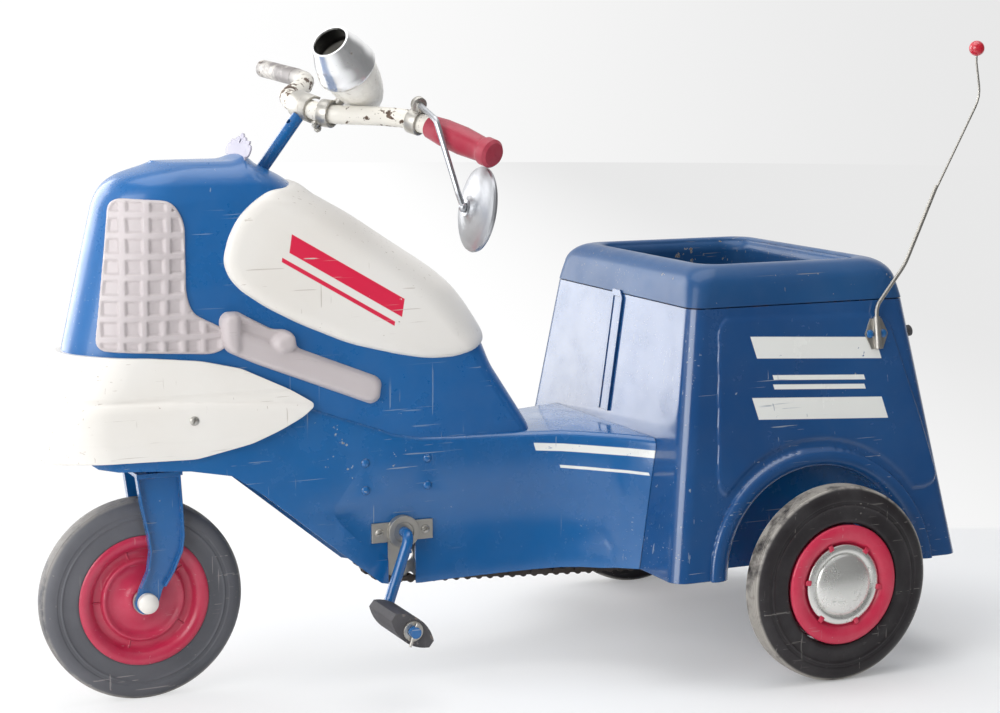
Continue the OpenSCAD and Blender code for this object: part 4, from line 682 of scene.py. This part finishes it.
# %% Pressed wheels
front_face = [(11.3, 12.0), (11.3, 14.2), (13.0, 14.9), (15.0, 14.6), (18.0, 12.4), (23.0, 9.6), (29.0, 8.2),
              (34.0, 8.4), (37.0, 9.8), (38.6, 11.4), (40.4, 11.6), (41.6, 10.6), (42.2, 7.4), (43.4, 6.4),
              (49.6, 6.2), (50.8, 7.0), (52.4, 10.6), (55.0, 13.8), (58.6, 15.8), (62.2, 16.2), (64.8, 15.4),
              (65.8, 14.4), (64.6, 13.8), (63.2, 11.0)]
rear_face = [(6.6, 12.6), (30.0, 11.0), (36.0, 9.0), (42.0, 9.2), (44.0, 11.0), (46.0, 14.2), (50.0, 16.0),
             (55.0, 16.9), (59.0, 16.3), (61.4, 14.9), (62.2, 13.6), (62.0, 12.4), (60.8, 11.6)]
hubcap_face = [(0.0, 22.3), (5.0, 22.2), (10.0, 21.9), (15.0, 21.3), (20.0, 20.3), (25.0, 18.8), (29.0, 16.9),
               (31.4, 15.2), (32.4, 13.8), (33.4, 14.4), (34.6, 15.4), (38.0, 15.0), (40.6, 14.2),
               (41.6, 13.2), (41.4, 11.6), (38.0, 11.4), (0.0, 12.4)]


def ring_of_blocks(bm, centre, count, first, place, size, bevel):
    """Sets bevelled blocks at even turns round an axle, each as wide, deep and high as size says."""
    for k in range(count):
        turn = Matrix.Rotation(math.radians(first + 360 / count * k), 4, "Y")
        where = Matrix.Translation(centre + turn @ (Vector(place) * MM)) @ turn
        scaled = Matrix.Diagonal((*[s * MM for s in size], 1.0))
        made = bmesh.ops.create_cube(bm, size=1.0, matrix=where @ scaled)
        edges = list({e for v in made["verts"] for e in v.link_edges})
        bmesh.ops.bevel(bm, geom=edges, offset=bevel * MM, affect="EDGES", segments=2, profile=0.5,
                        material=-1)


body, centre = wheels["front"]
bm = spun(both_faces(front_face), centre, 96)
for sign in (-1, 1):
    ring_of_blocks(bm, centre, 5, 36, (47.0, sign * 6.7, 0.0), (8.5, 1.4, 1.6), 0.5)
finished_piece(bm, "front_wheel_pressing", body, "front_red", ("front_disc",), 50.0)

for side, sign in (("left", -1), ("right", 1)):
    body, centre = wheels[side]
    bm = spun(both_faces(rear_face), centre, 96)
    ring_of_blocks(bm, centre, 6, 8, (42.2, sign * 14.6, 0.0), (6.4, 2.2, 5.4), 0.9)
    finished_piece(bm, "rear_wheel_pressing_" + side, body, "wheel_red",
                   ("rear_wheel_" + side,), 50.0)
    bm = spun([(r, sign * y) for r, y in hubcap_face], centre, 96, closed=False)
    finished_piece(bm, "hubcap_" + side, body, "hubcap_metal", crease=50.0)

# %% [markdown]
# ## Roller chain
# The links follow the same loop as in the CAD: an arc round each sprocket and a straight run between
# them. Each plate is two round ends with a narrower waist, which gives the scallops that hang below
# the frame. The loop takes an odd number of links, so two outer plates meet at one pin.

# %% The chain's loop
PITCH, CRANK_TEETH, REAR_TEETH = 12.7, 26, 9
crank_end, rear_end = Vector((-411.0, 158.0)), Vector((0.0, AXLE_UP))
crank_reach, rear_reach = (PITCH / (2 * math.sin(math.pi / teeth)) for teeth in (CRANK_TEETH, REAR_TEETH))
gap = (rear_end - crank_end).length
wrap = math.asin((crank_reach - rear_reach) / gap)
run = gap * math.cos(wrap)
away = math.atan2(crank_end.y - rear_end.y, crank_end.x - rear_end.x)
upper, lower = away - math.pi / 2 - wrap, away + math.pi / 2 + wrap
rear_arc, crank_arc = rear_reach * (math.pi - 2 * wrap), crank_reach * (math.pi + 2 * wrap)
loop = 2 * run + rear_arc + crank_arc
links = round(loop / PITCH)


def on_circle(middle, reach, angle):
    return middle + Vector((math.cos(angle), math.sin(angle))) * reach


def chain_point(s):
    if s < run:
        return on_circle(crank_end, crank_reach, upper).lerp(on_circle(rear_end, rear_reach, upper), s / run)
    s -= run
    if s < rear_arc:
        return on_circle(rear_end, rear_reach, upper - s / rear_reach)
    s -= rear_arc
    if s < run:
        return on_circle(rear_end, rear_reach, lower).lerp(on_circle(crank_end, crank_reach, lower), s / run)
    return on_circle(crank_end, crank_reach, lower - (s - run) / crank_reach)


# %% Chain links
CHAIN_Y = -45
OUTER_PLATES, INNER_PLATES = 3.6, 2.3
PLATE_END, PLATE_THICK, WAIST_THICK, WAIST_HIGH = 4.3, 1.2, 1.0, 5.0
PIN_REACH, PIN_LONG = 2.2, 8.6


def cylinder(bm, place, turn, reach, depth, sides):
    bmesh.ops.create_cone(bm, cap_ends=True, segments=sides, radius1=reach * MM, radius2=reach * MM,
                          depth=depth * MM, matrix=Matrix.Translation(place) @ turn)


along_y = Matrix.Rotation(math.pi / 2, 4, "X")
bm = bmesh.new()
for i in range(links):
    a, b = (chain_point(loop * (k % links) / links) for k in (i, i + 1))
    middle, span = (a + b) / 2, b - a
    turn = Matrix.Rotation(-math.atan2(span.y, span.x), 4, "Y")
    apart = OUTER_PLATES if i % 2 == 0 else INNER_PLATES
    size = Matrix.Diagonal((span.length * MM, WAIST_THICK * MM, WAIST_HIGH * MM, 1.0))
    for y in (CHAIN_Y - apart, CHAIN_Y + apart):
        for end in (a, b):
            cylinder(bm, at(end.x, y, end.y), along_y, PLATE_END, PLATE_THICK, 18)
        waist = Matrix.Translation(at(middle.x, y, middle.y)) @ turn @ size
        bmesh.ops.create_cube(bm, size=1.0, matrix=waist)
    cylinder(bm, at(b.x, CHAIN_Y, b.y), along_y, PIN_REACH, PIN_LONG, 12)
finished_piece(bm, "linked_chain", "frame", "chain_steel", ("drive_chain",),
               smooth=False)
print("links", links, "each", round(loop / links, 3), "mm")

# %% [markdown]
# ## Clamps on the handlebar
# The post is held by a strap that loops round the bar and stays open to the rear, with a flat tail.
# The lamp sits on a ring with an ear and a bolt, and the ring leaves the bar room for the lamp's tilt.
# The mirror's band carries a round washer head. All three are bands spun round the bar.

# %% Helpers for clamps
bar_middle = Vector((-488.49, 0.0, 585.09))
lean, turned = math.radians(37.0), math.radians(17.7)
bar_frame = Matrix.Rotation(lean, 3, "Y") @ Matrix.Rotation(turned, 3, "Z") @ Matrix.Rotation(-lean, 3, "Y")


def on_bar(x, y, z):
    """A place given in the handlebar's own drawing, in millimetres from the middle of the bar."""
    return bar_middle + bar_frame @ Vector((x, y, z))


def band(bm, centre, axis, start, inner, thick, width, sweep=math.tau, tail=0.0):
    """A flat band round an axis, closed or open, whose far end may run on straight."""
    axis = axis.normalized()
    start = (start - axis * start.dot(axis)).normalized()
    cent = at(*centre)
    outer, half = inner + thick, width / 2
    corners = [(inner, -half), (outer, -half), (outer, half), (inner, half)]
    points = [cent + (start * r + axis * w) * MM for r, w in corners]
    if sweep == math.tau:
        spin_round(bm, points, True, cent, axis, 40)
        return
    face = bm.faces.new([bm.verts.new(point) for point in points])
    last = bmesh.ops.spin(bm, geom=[face], cent=cent, axis=axis, angle=sweep, steps=40)["geom_last"]
    end = [part for part in last if isinstance(part, bmesh.types.BMFace)]
    way = axis.cross(Matrix.Rotation(sweep, 3, axis) @ start) * (1 if sweep > 0 else -1)
    grown = bmesh.ops.extrude_face_region(bm, geom=end)["geom"]
    bmesh.ops.delete(bm, geom=end, context="FACES_ONLY")
    moved = [part for part in grown if isinstance(part, bmesh.types.BMVert)]
    bmesh.ops.translate(bm, verts=moved, vec=way * tail * MM)


def bolt(bm, a, b, reach, sides=20):
    """A straight rod from a to b, or a bolt's head if it is short."""
    turn = (b - a).to_track_quat("Z", "Y").to_matrix().to_4x4()
    cylinder(bm, at(*((a + b) / 2)), turn, reach, (b - a).length, sides)


def clamp_piece(bm, name, body, stands_for):
    piece = finished_piece(bm, name, body, "dull_zinc", stands_for)
    soft_edges = piece.modifiers.new("soft", "BEVEL")
    soft_edges.width, soft_edges.segments, soft_edges.limit_method = 0.0005, 2, "ANGLE"
    soft_edges.angle_limit = math.radians(40.0)
    crease_split(piece, 40.0)


# %% Clamps
bm = bmesh.new()
bar_way = bar_frame @ Vector((0.0, 1.0, 0.0))
strap_start = Matrix.Rotation(math.radians(-48.0), 3, bar_way) @ Vector((1.0, 0.0, 0.2))
band(bm, bar_middle + Vector((1.6, 0.0, 0.0)), bar_way, strap_start, 11.2, 2.6, 30.0,
     -math.radians(262.0), 12.0)
clamp_piece(bm, "strap", "fork", ("bar_clamp", "clamp_bolt"))

bm = bmesh.new()
ring, before = on_bar(4.0, -35.0, 0.5), on_bar(8.0, -44.0, 1.0)
saddle = LAMP_MIDDLE - LAMP_WAY * 27.0
out = (saddle - ring).normalized()
side = out.cross((before - ring).normalized())
ear = ring - out * 17.0
band(bm, ring, before - ring, out, 11.6, 2.2, 12.0)
bolt(bm, ring + out * 12.6, saddle, 5.0)
bolt(bm, ring - out * 12.6, ring - out * 20.0, 3.0)
bolt(bm, ear - side * 6.0, ear + side * 6.0, 2.2)
bolt(bm, ear + side * 4.6, ear + side * 8.0, 4.0, 6)
clamp_piece(bm, "lamp_ring", "lamp", ("lamp_clamp",))

bm = bmesh.new()
rod_root, rod_next = Vector((85.99, -91.0, 3.91)), Vector((87.79, -131.0, -9.89))
ring, root = on_bar(63.36, -102.08, 4.16), bar_middle + rod_root
along_bar = on_bar(68.0, -116.0, 3.0) - ring
way = (root - ring).normalized()
rod_way = (rod_next - rod_root).normalized()
band(bm, ring, along_bar, way, 10.4, 2.4, 12.0)
bolt(bm, ring + way * 11.6, root + way * 3.0, 4.8)
bolt(bm, root - rod_way * 3.0, root + rod_way * 3.0, 7.6, 28)
clamp_piece(bm, "mirror_band", "mirror_arm", ("mirror_clamp",))

# %% [markdown]
# ## The moulded cowl and its covers
# The cowl, the tank covers, the grilles, the engine mouldings and the fairing are soft moulded forms.
# Each starts as a flat grid that is laid over the left side of the body: one direction runs round the
# section from the nose to the tail, and the other runs up. A distance to the form's outline trims the
# grid and raises its edge in a curve. Mirroring gives the right side. The tables hold the same side
# lines as the CAD model, in millimetres.

# %% The body's side surface
nose_line = ([250, 354, 431, 498, 512, 521, 527, 534], [-744, -739, -721, -705, -697, -686, -672, -640])
tail_line = ([250, 256, 320, 333, 345, 361, 383, 403, 421, 449, 479, 497, 505, 514, 524, 534],
             [-253, -256, -297, -302, -306, -315, -330, -346, -368, -411, -456, -488, -501, -512, -528, -554])
width_line = ([250, 300, 420, 470, 499, 514, 524, 529, 532, 534], [57, 58, 59, 59, 58, 54, 47, 40, 33, 25])
front_round = ([250, 500, 534], [65, 65, 44])
back_round = ([250, 330, 360, 420, 500, 534], [24, 32, 46, 60, 60, 26])
deck_line = ([-734, -730, -718, -700, -670, -630, -588, -558, -530, -484, -450, -434, -420, -390, -350,
              -300, -265, -239],
             [300, 312, 320, 327, 330, 328, 320, 311, 301, 284, 272, 266, 260, 254, 252, 251, 250, 250])


def soft(z, line, spread=6.0):
    """A table's value at z, averaged over a few millimetres so that no corner shows."""
    return sum(np.interp(z + spread * k, *line) for k in (-1.0, -0.5, 0.0, 0.5, 1.0)) / 5


def round_section(u, nose, tail, width, front, back, shares=(0.25, 0.7)):
    """Runs from the nose (u = 0) round the left side to the tail (u = 1)."""
    a, b = shares
    turn_in = np.pi / 2 * np.clip(u / a, 0, 1)
    turn_out = np.pi / 2 * np.clip((u - b) / (1 - b), 0, 1)
    side = np.clip((u - a) / (b - a), 0, 1)
    x = np.where(u < a, nose + front * (1 - np.cos(turn_in)),
                 np.where(u < b, (nose + front) * (1 - side) + (tail - back) * side,
                          tail - back + back * np.sin(turn_out)))
    y = np.where(u < a, -width * np.sin(turn_in), np.where(u < b, -width, -width * np.cos(turn_out)))
    return x, y


def cowl_surface(u, z, g=0.0):
    x, y = round_section(u, soft(z, nose_line) - g, soft(z, tail_line) + g, soft(z, width_line, 2.0) + g,
                         np.interp(z, *front_round) + g, np.interp(z, *back_round) + g)
    return np.stack([x, y, z + np.where(z > 500, g * (z - 500) / 34, 0)], axis=-1)


def distance_to(outline):
    """A function that gives each place's distance to a closed outline, negative inside."""
    p = np.array(outline, float)
    q = np.roll(p, -1, axis=0)

    def field(x, z):
        best = np.full(x.shape, 1e9)
        inside = np.zeros(x.shape, bool)
        for (ax, az), (bx, bz) in zip(p, q):
            t = ((x - ax) * (bx - ax) + (z - az) * (bz - az)) / ((bx - ax) ** 2 + (bz - az) ** 2)
            t = np.clip(t, 0, 1)
            best = np.minimum(best, np.hypot(x - ax - t * (bx - ax), z - az - t * (bz - az)))
            if az != bz:
                inside ^= ((az > z) != (bz > z)) & (x < (bx - ax) * (z - az) / (bz - az) + ax)
        return np.where(inside, -best, best)
    return field


def rounded_outline(points, reach, steps=5):
    """Rounds each corner of an outline with a short curve."""
    out = []
    for i, p in enumerate(points):
        p, a, b = (np.array(q, float) for q in (p, points[i - 1], points[(i + 1) % len(points)]))
        cut = min(reach, np.linalg.norm(a - p) * 0.45, np.linalg.norm(b - p) * 0.45)
        s, e = p + (a - p) / np.linalg.norm(a - p) * cut, p + (b - p) / np.linalg.norm(b - p) * cut
        for k in range(steps + 1):
            t = k / steps
            out.append(tuple((1 - t) ** 2 * s + 2 * t * (1 - t) * p + t * t * e))
    return out


# %% Raising a form out of the side
def to_model(points):
    return [Vector(p) * MM + SHIFT for p in points]


def unit_grid(bm, columns, rows):
    """Makes a flat grid and gives the places of its points, from 0 to 1 across and up."""
    bmesh.ops.create_grid(bm, x_segments=columns, y_segments=rows, size=0.5)
    bm.verts.index_update()
    return (np.array([(v.co.x, v.co.y) for v in bm.verts]) + 0.5).T


def put(verts, places):
    for vert, place in zip(verts, to_model(places)):
        vert.co = place


def mirror_over(bm):
    """Adds the right side as a mirror image and joins the two in the middle."""
    bmesh.ops.mirror(bm, geom=bm.verts[:] + bm.edges[:] + bm.faces[:], matrix=Matrix(), merge_dist=1e-5,
                     axis="Y")
    bmesh.ops.remove_doubles(bm, verts=bm.verts, dist=1e-6)


def pulled_to_edge(u, z, depth_at, u_span):
    """Moves places onto the outline along the slope of the distance to it."""
    to_mm = 300
    for _ in range(5):
        d = depth_at(u, z)
        gu = (depth_at(u + 5e-4, z) - depth_at(u - 5e-4, z)) / 1e-3 / to_mm
        gz = (depth_at(u, z + 0.3) - depth_at(u, z - 0.3)) / 0.6
        size = np.maximum(gu * gu + gz * gz, 0.2)
        u, z = np.clip(u - d * gu / size / to_mm, *u_span), z - d * gz / size
    return u, z


def relief(name, surface, field, height, u_span, z_span, steps, material, stands_for, sink=0.6,
           crease=50.0, opening=None):
    """Lays a grid over the side, trims it to the outline, raises it by height(x, z, depth) and mirrors it."""
    bm = bmesh.new()
    across, up = unit_grid(bm, *steps)
    u_layer, z_layer = bm.verts.layers.float.new("u"), bm.verts.layers.float.new("z")
    u = u_span[0] + (u_span[1] - u_span[0]) * across
    z = z_span[0] + (z_span[1] - z_span[0]) * up

    def depth_at(u, z):
        flat = surface(u, z, 0.0)
        return field(flat[..., 0], flat[..., 2])

    inside = depth_at(u, z) < 0
    border = np.zeros(len(u), bool)
    gone = []
    for face in bm.faces:
        ids = [v.index for v in face.verts]
        if any(inside[ids]):
            border[[i for i in ids if not inside[i]]] = True
        else:
            gone.append(face)
    u[border], z[border] = pulled_to_edge(u[border], z[border], depth_at, u_span)
    flat = surface(u, z, 0.0)
    depth = np.maximum(-field(flat[:, 0], flat[:, 2]), 0)
    depth[border] = 0
    put(bm.verts, surface(u, z, height(flat[:, 0], flat[:, 2], depth)))
    for vert in bm.verts:
        vert[u_layer], vert[z_layer] = u[vert.index], z[vert.index]
    if opening:
        gone = list(set(gone) | {f for f in bm.faces if opening(f.calc_center_median())})
    bmesh.ops.delete(bm, geom=gone, context="FACES")
    rim = [e for e in bm.edges if e.is_boundary and not all(abs(v.co.y) < 1e-6 for v in e.verts)]
    made = bmesh.ops.extrude_edge_only(bm, edges=rim)["geom"]
    fresh = [v for v in made if isinstance(v, bmesh.types.BMVert)]
    put(fresh, surface(np.array([v[u_layer] for v in fresh]), np.array([v[z_layer] for v in fresh]), -sink))
    mirror_over(bm)
    finished_piece(bm, name, "frame", material, stands_for, crease)


def quarter(depth, reach):
    """Rises from 0 to 1 like a quarter round over the given reach."""
    t = np.clip(depth / reach, 0, 1)
    return np.sqrt(1 - (1 - t) ** 2)


# %% The tank covers
tank_outline = [(-490, 530), (-515, 509), (-545, 507), (-562, 497), (-578, 482), (-588.5, 463), (-594, 440),
                (-588.5, 424), (-577, 411), (-552, 393.5), (-517, 375), (-465, 352.5), (-412, 338.5),
                (-379, 332.5), (-352, 333), (-335, 337), (-318, 343), (-270, 352), (-270, 530)]
relief("moulded_tank", cowl_surface, distance_to(rounded_outline(tank_outline, 14)),
       lambda x, z, d: 6.0 * quarter(d, 13.0) + 2.4 * (1 - np.exp(-d / 30)),
       (0.3, 1.0), (325, 516), (150, 130), "tank_banded",
       ("tank_left", "tank_right"))

# %% The grilles
HOLE_PITCH, HOLE_HALF, HOLE_SOFT, HOLE_DEEP = 19.7, 7.5, 1.8, 2.9
corner_x, corner_z = -699, 359
grille_outline = [(-717, 358), (-601, 350), (-578, 367), (-602, 379), (-625, 391), (-631, 410), (-631, 480),
                  (-643, 500), (-696, 503)]


def grille_height(x, z, d):
    row = np.round((z - corner_z) / HOLE_PITCH)
    lean = (row - 4) * HOLE_PITCH * np.tan(np.radians(3.5))
    col = np.round((x - corner_x - lean) / HOLE_PITCH)
    across, up = x - corner_x - lean - col * HOLE_PITCH, z - corner_z - row * HOLE_PITCH
    away = np.maximum(np.abs(across), np.abs(up))
    sunk = np.clip((HOLE_HALF - away) / HOLE_SOFT, 0, 1) * np.clip((d - 2.0) / 1.5, 0, 1)
    return 0.4 + 3.2 * quarter(d, 3.5) - HOLE_DEEP * sunk * sunk * (3 - 2 * sunk)


relief("moulded_grille", cowl_surface, distance_to(rounded_outline(grille_outline, 12)), grille_height,
       (0.03, 0.46), (345, 508), (150, 150), "mauve_grey",
       ("grille_left", "grille_right"), crease=80.0)

# %% The engine mouldings
engine_outline = [(-598, 364), (-592, 352), (-562, 338), (-442, 290), (-433, 295), (-431, 312), (-436, 318),
                  (-520, 352), (-523, 366), (-532, 371), (-545, 371.5), (-572, 386), (-580, 391), (-594, 391),
                  (-599, 384)]


def bar_distance(x, z, a, b, half):
    """Distance to a thick line from a to b with round ends."""
    run_x, run_z = b[0] - a[0], b[1] - a[1]
    t = np.clip(((x - a[0]) * run_x + (z - a[1]) * run_z) / (run_x ** 2 + run_z ** 2), 0, 1)
    return np.hypot(x - a[0] - t * run_x, z - a[1] - t * run_z) - half


def engine_height(x, z, d):
    bar = 8.5 * quarter(-bar_distance(x, z, (-580, 358), (-447, 306), 14.5), 8.0)
    lug = 13.0 * quarter(-bar_distance(x, z, (-588, 356), (-588.5, 382), 10.5), 8.0)
    knob = 12.0 * quarter(-bar_distance(x, z, (-536, 357), (-531, 359), 11.5), 9.0)
    rim = 6.0 * quarter(-bar_distance(x, z, (-584, 387), (-532, 368.5), 3.2), 2.4)
    return 0.3 + np.maximum.reduce([bar, lug, knob, rim, 3.0 * quarter(d, 2.5)]) * quarter(d, 4.5)


relief("moulded_engine", cowl_surface, distance_to(rounded_outline(engine_outline, 5)), engine_height,
       (0.2, 0.86), (284, 396), (190, 90), "mauve_grey",
       ("engine_left", "engine_right"), crease=80.0)

# %% The fairing round the frame's nose
fairing_nose = ([240, 252, 268, 280, 296, 308, 312, 330, 352],
                [-752, -768, -775, -777, -775, -769, -765, -754, -744])
fairing_width = ([240, 252, 268, 280, 300, 308, 312, 330, 352], [63, 66, 69, 69, 68.4, 67, 64, 62.8, 62])
fairing_outline = [(-800, 240), (-738, 251), (-700, 251), (-625, 249.5), (-570, 261), (-540, 273),
                   (-518, 284), (-503, 295.5), (-528, 311), (-578, 335), (-618, 344.5), (-668, 350),
                   (-726, 353), (-800, 354)]
pad_outline = [(-768, 304), (-740, 308), (-650, 306.5), (-514, 297), (-490, 290), (-518, 270), (-625, 230),
               (-768, 230)]
fairing_pad = distance_to(rounded_outline(pad_outline, 26))


def fairing_surface(u, z, g=0.0):
    nose = np.interp(z, fairing_nose[0], fairing_nose[1]) - g
    x, y = round_section(u * 0.7, nose, -480.0, soft(z, fairing_width, 1.5) + g, 66.0 + g, 0.0)
    return np.stack([x, y, z + 0.0 * x], axis=-1)


def fairing_height(x, z, d):
    """Lies back outside the pad, below the crease."""
    beyond_pad = 1 - quarter(np.maximum(-fairing_pad(x, z), 0), 8.0)
    return 0.2 - 3.4 * beyond_pad * np.clip((313 - z) / 4, 0, 1)


relief("moulded_fairing", fairing_surface, distance_to(rounded_outline(fairing_outline, 6)), fairing_height,
       (0.0, 1.0), (247, 355), (200, 90), "warm_white",
       ("fairing_left", "fairing_right"), sink=7.0, crease=60.0)

# %% The cowl itself
COWL_TOP, SIDE_SHARE, POST_X = 534.0, 0.9, -559
bm = bmesh.new()
u, v = unit_grid(bm, 150, 90)
foot = np.full(len(u), 300.0)
for _ in range(8):
    foot = np.interp(cowl_surface(u, foot)[:, 0], *deck_line) - 2.0
lift = np.clip(v / SIDE_SHARE, 0, 1)
places = cowl_surface(u, foot + (COWL_TOP - foot) * lift ** 0.85)
crown = np.clip((v - SIDE_SHARE) / 0.1, 0, 1)
places[:, 1] *= 1 - crown
places[:, 2] += 1.4 * np.sin(crown * np.pi / 2)
near_post = np.exp(-((places[:, 0] - POST_X) / 9.0) ** 2) * np.clip((places[:, 2] - 520) / 14, 0, 1)
places[:, 2] += 4.5 * near_post
put(bm.verts, places)
mirror_over(bm)
finished_piece(bm, "moulded_cowl", "frame", "blue_moulded",
               ("cowl_left", "cowl_right"), 60.0)

# %% [markdown]
# ## The patrol box
# The box is one wrap of sheet that leans in on all sides. Its side carries a raised field with a
# rounded edge, and a half-round bead follows the wheel arch. The cap over it rolls into the tub in
# one smooth turn. Both are grids laid round half the box and mirrored, as before.

# %% Box skin
BOX_LOW, BOX_SEAM, BOX_TOP = 109.2, 381.0, 423.0


def box_outline(u, z, g, r):
    """A level of the box: from mid front (u = 0) round the left side to mid rear (u = 1)."""
    t = (z - BOX_LOW) / (381.8 - BOX_LOW)
    front, rear, side = -173 + 38 * t + g, 171 - 49 * t - g, 202 - 40 * t - g
    a, b, c, e = 0.16, 0.22, 0.84, 0.90
    one, two = np.clip(u / a, 0, 1), np.clip((u - a) / (b - a), 0, 1) * np.pi / 2
    three, five = np.clip((u - b) / (c - b), 0, 1), np.clip((u - e) / (1 - e), 0, 1)
    four = np.clip((u - c) / (e - c), 0, 1) * np.pi / 2
    x = np.where(u < c, front + r * (1 - np.cos(two)) + three * (rear - front - 2 * r),
                 rear - r + r * np.sin(four))
    y = np.where(u < c, (side - r) * one + r * np.sin(two), side - r + r * np.cos(four) - (side - r) * five)
    return np.stack([x, -y, z + 0.0 * x], axis=-1)


def box_surface(u, z, g=0.0):
    return box_outline(u, z, -g, 17.0)


field_outline = distance_to(rounded_outline([(-98, 372), (86, 367), (99, 355), (131, 252), (147, 196),
                                             (141, 186), (128, 182), (-100, 189), (-116, 197), (-117, 212),
                                             (-107, 360)], 9))


def wheel_arch(x, z):
    return 113.0 - np.hypot(x, z - AXLE_UP)


def box_height(x, z, d):
    bead = 6.5 * np.sqrt(np.maximum(1 - ((d - 9.5) / 9.5) ** 2, 0)) * (d < 19)
    inside = np.minimum(-field_outline(x, z), d - 27)
    return np.maximum(bead, 2.2 * quarter(np.maximum(inside, 0), 6.0))


relief("box_skin", box_surface, wheel_arch, box_height, (0.0, 1.0), (BOX_LOW, BOX_SEAM), (250, 120),
       "box_banded", ("box_shell",), sink=2.0, crease=55.0,
       opening=lambda v: v.x < 0.14 and abs(v.y) < 0.07 and v.z < 0.211)

# %% Cap and tub
def turns(angles):
    return [(math.sin(math.radians(a)), math.cos(math.radians(a))) for a in angles]


TUB_FLOOR = 248.0
profile = [(382.0, 2.0, 16.0), (382.0, -0.4, 17.0), (386.0, -0.4, 18.0), (394.0, -0.3, 20.0)]
profile += [(BOX_TOP - 22 + 22 * s, 22 - 22 * c, 22.0) for s, c in turns(range(0, 91, 10))]
profile += [(BOX_TOP - 15 + 15 * c, 22 + 14 * s, 24.0) for s, c in turns(range(10, 91, 10))]
profile += [(360.0, 36.5, 24.0), (300.0, 38.0, 24.0), (262.0, 38.5, 24.0)]
profile += [(262 - 14 * s, 38.5 + 14 * (1 - c), 20.0) for s, c in turns((30, 60, 90))]
bm = bmesh.new()
u, v = unit_grid(bm, 160, len(profile) - 1)
up, inset, corner = np.array(profile)[np.rint(v * (len(profile) - 1)).astype(int)].T
level = np.minimum(up, np.where(inset > 30, BOX_TOP - 14, 999.0))
places = box_outline(u, level, inset, corner)
places[:, 2] = up
put(bm.verts, places)
mirror_over(bm)
floor_rim = [e for e in bm.edges
             if e.is_boundary and all(abs(v.co.z - TUB_FLOOR * MM) < 1e-4 for v in e.verts)]
bmesh.ops.contextual_create(bm, geom=floor_rim)
finished_piece(bm, "box_cap", "frame", "cap_enamel_shaded", ("box_tub",), 60.0)

# %% [markdown]
# ## The CAD model's bounds
# The bounds of the CAD model, taken before any dressing, are printed. The visual model
# may not leave the CAD box.

# %% Measure and finish
low, high = cad_box
print("cad", [round(v, 3) for v in (*low, *high)])
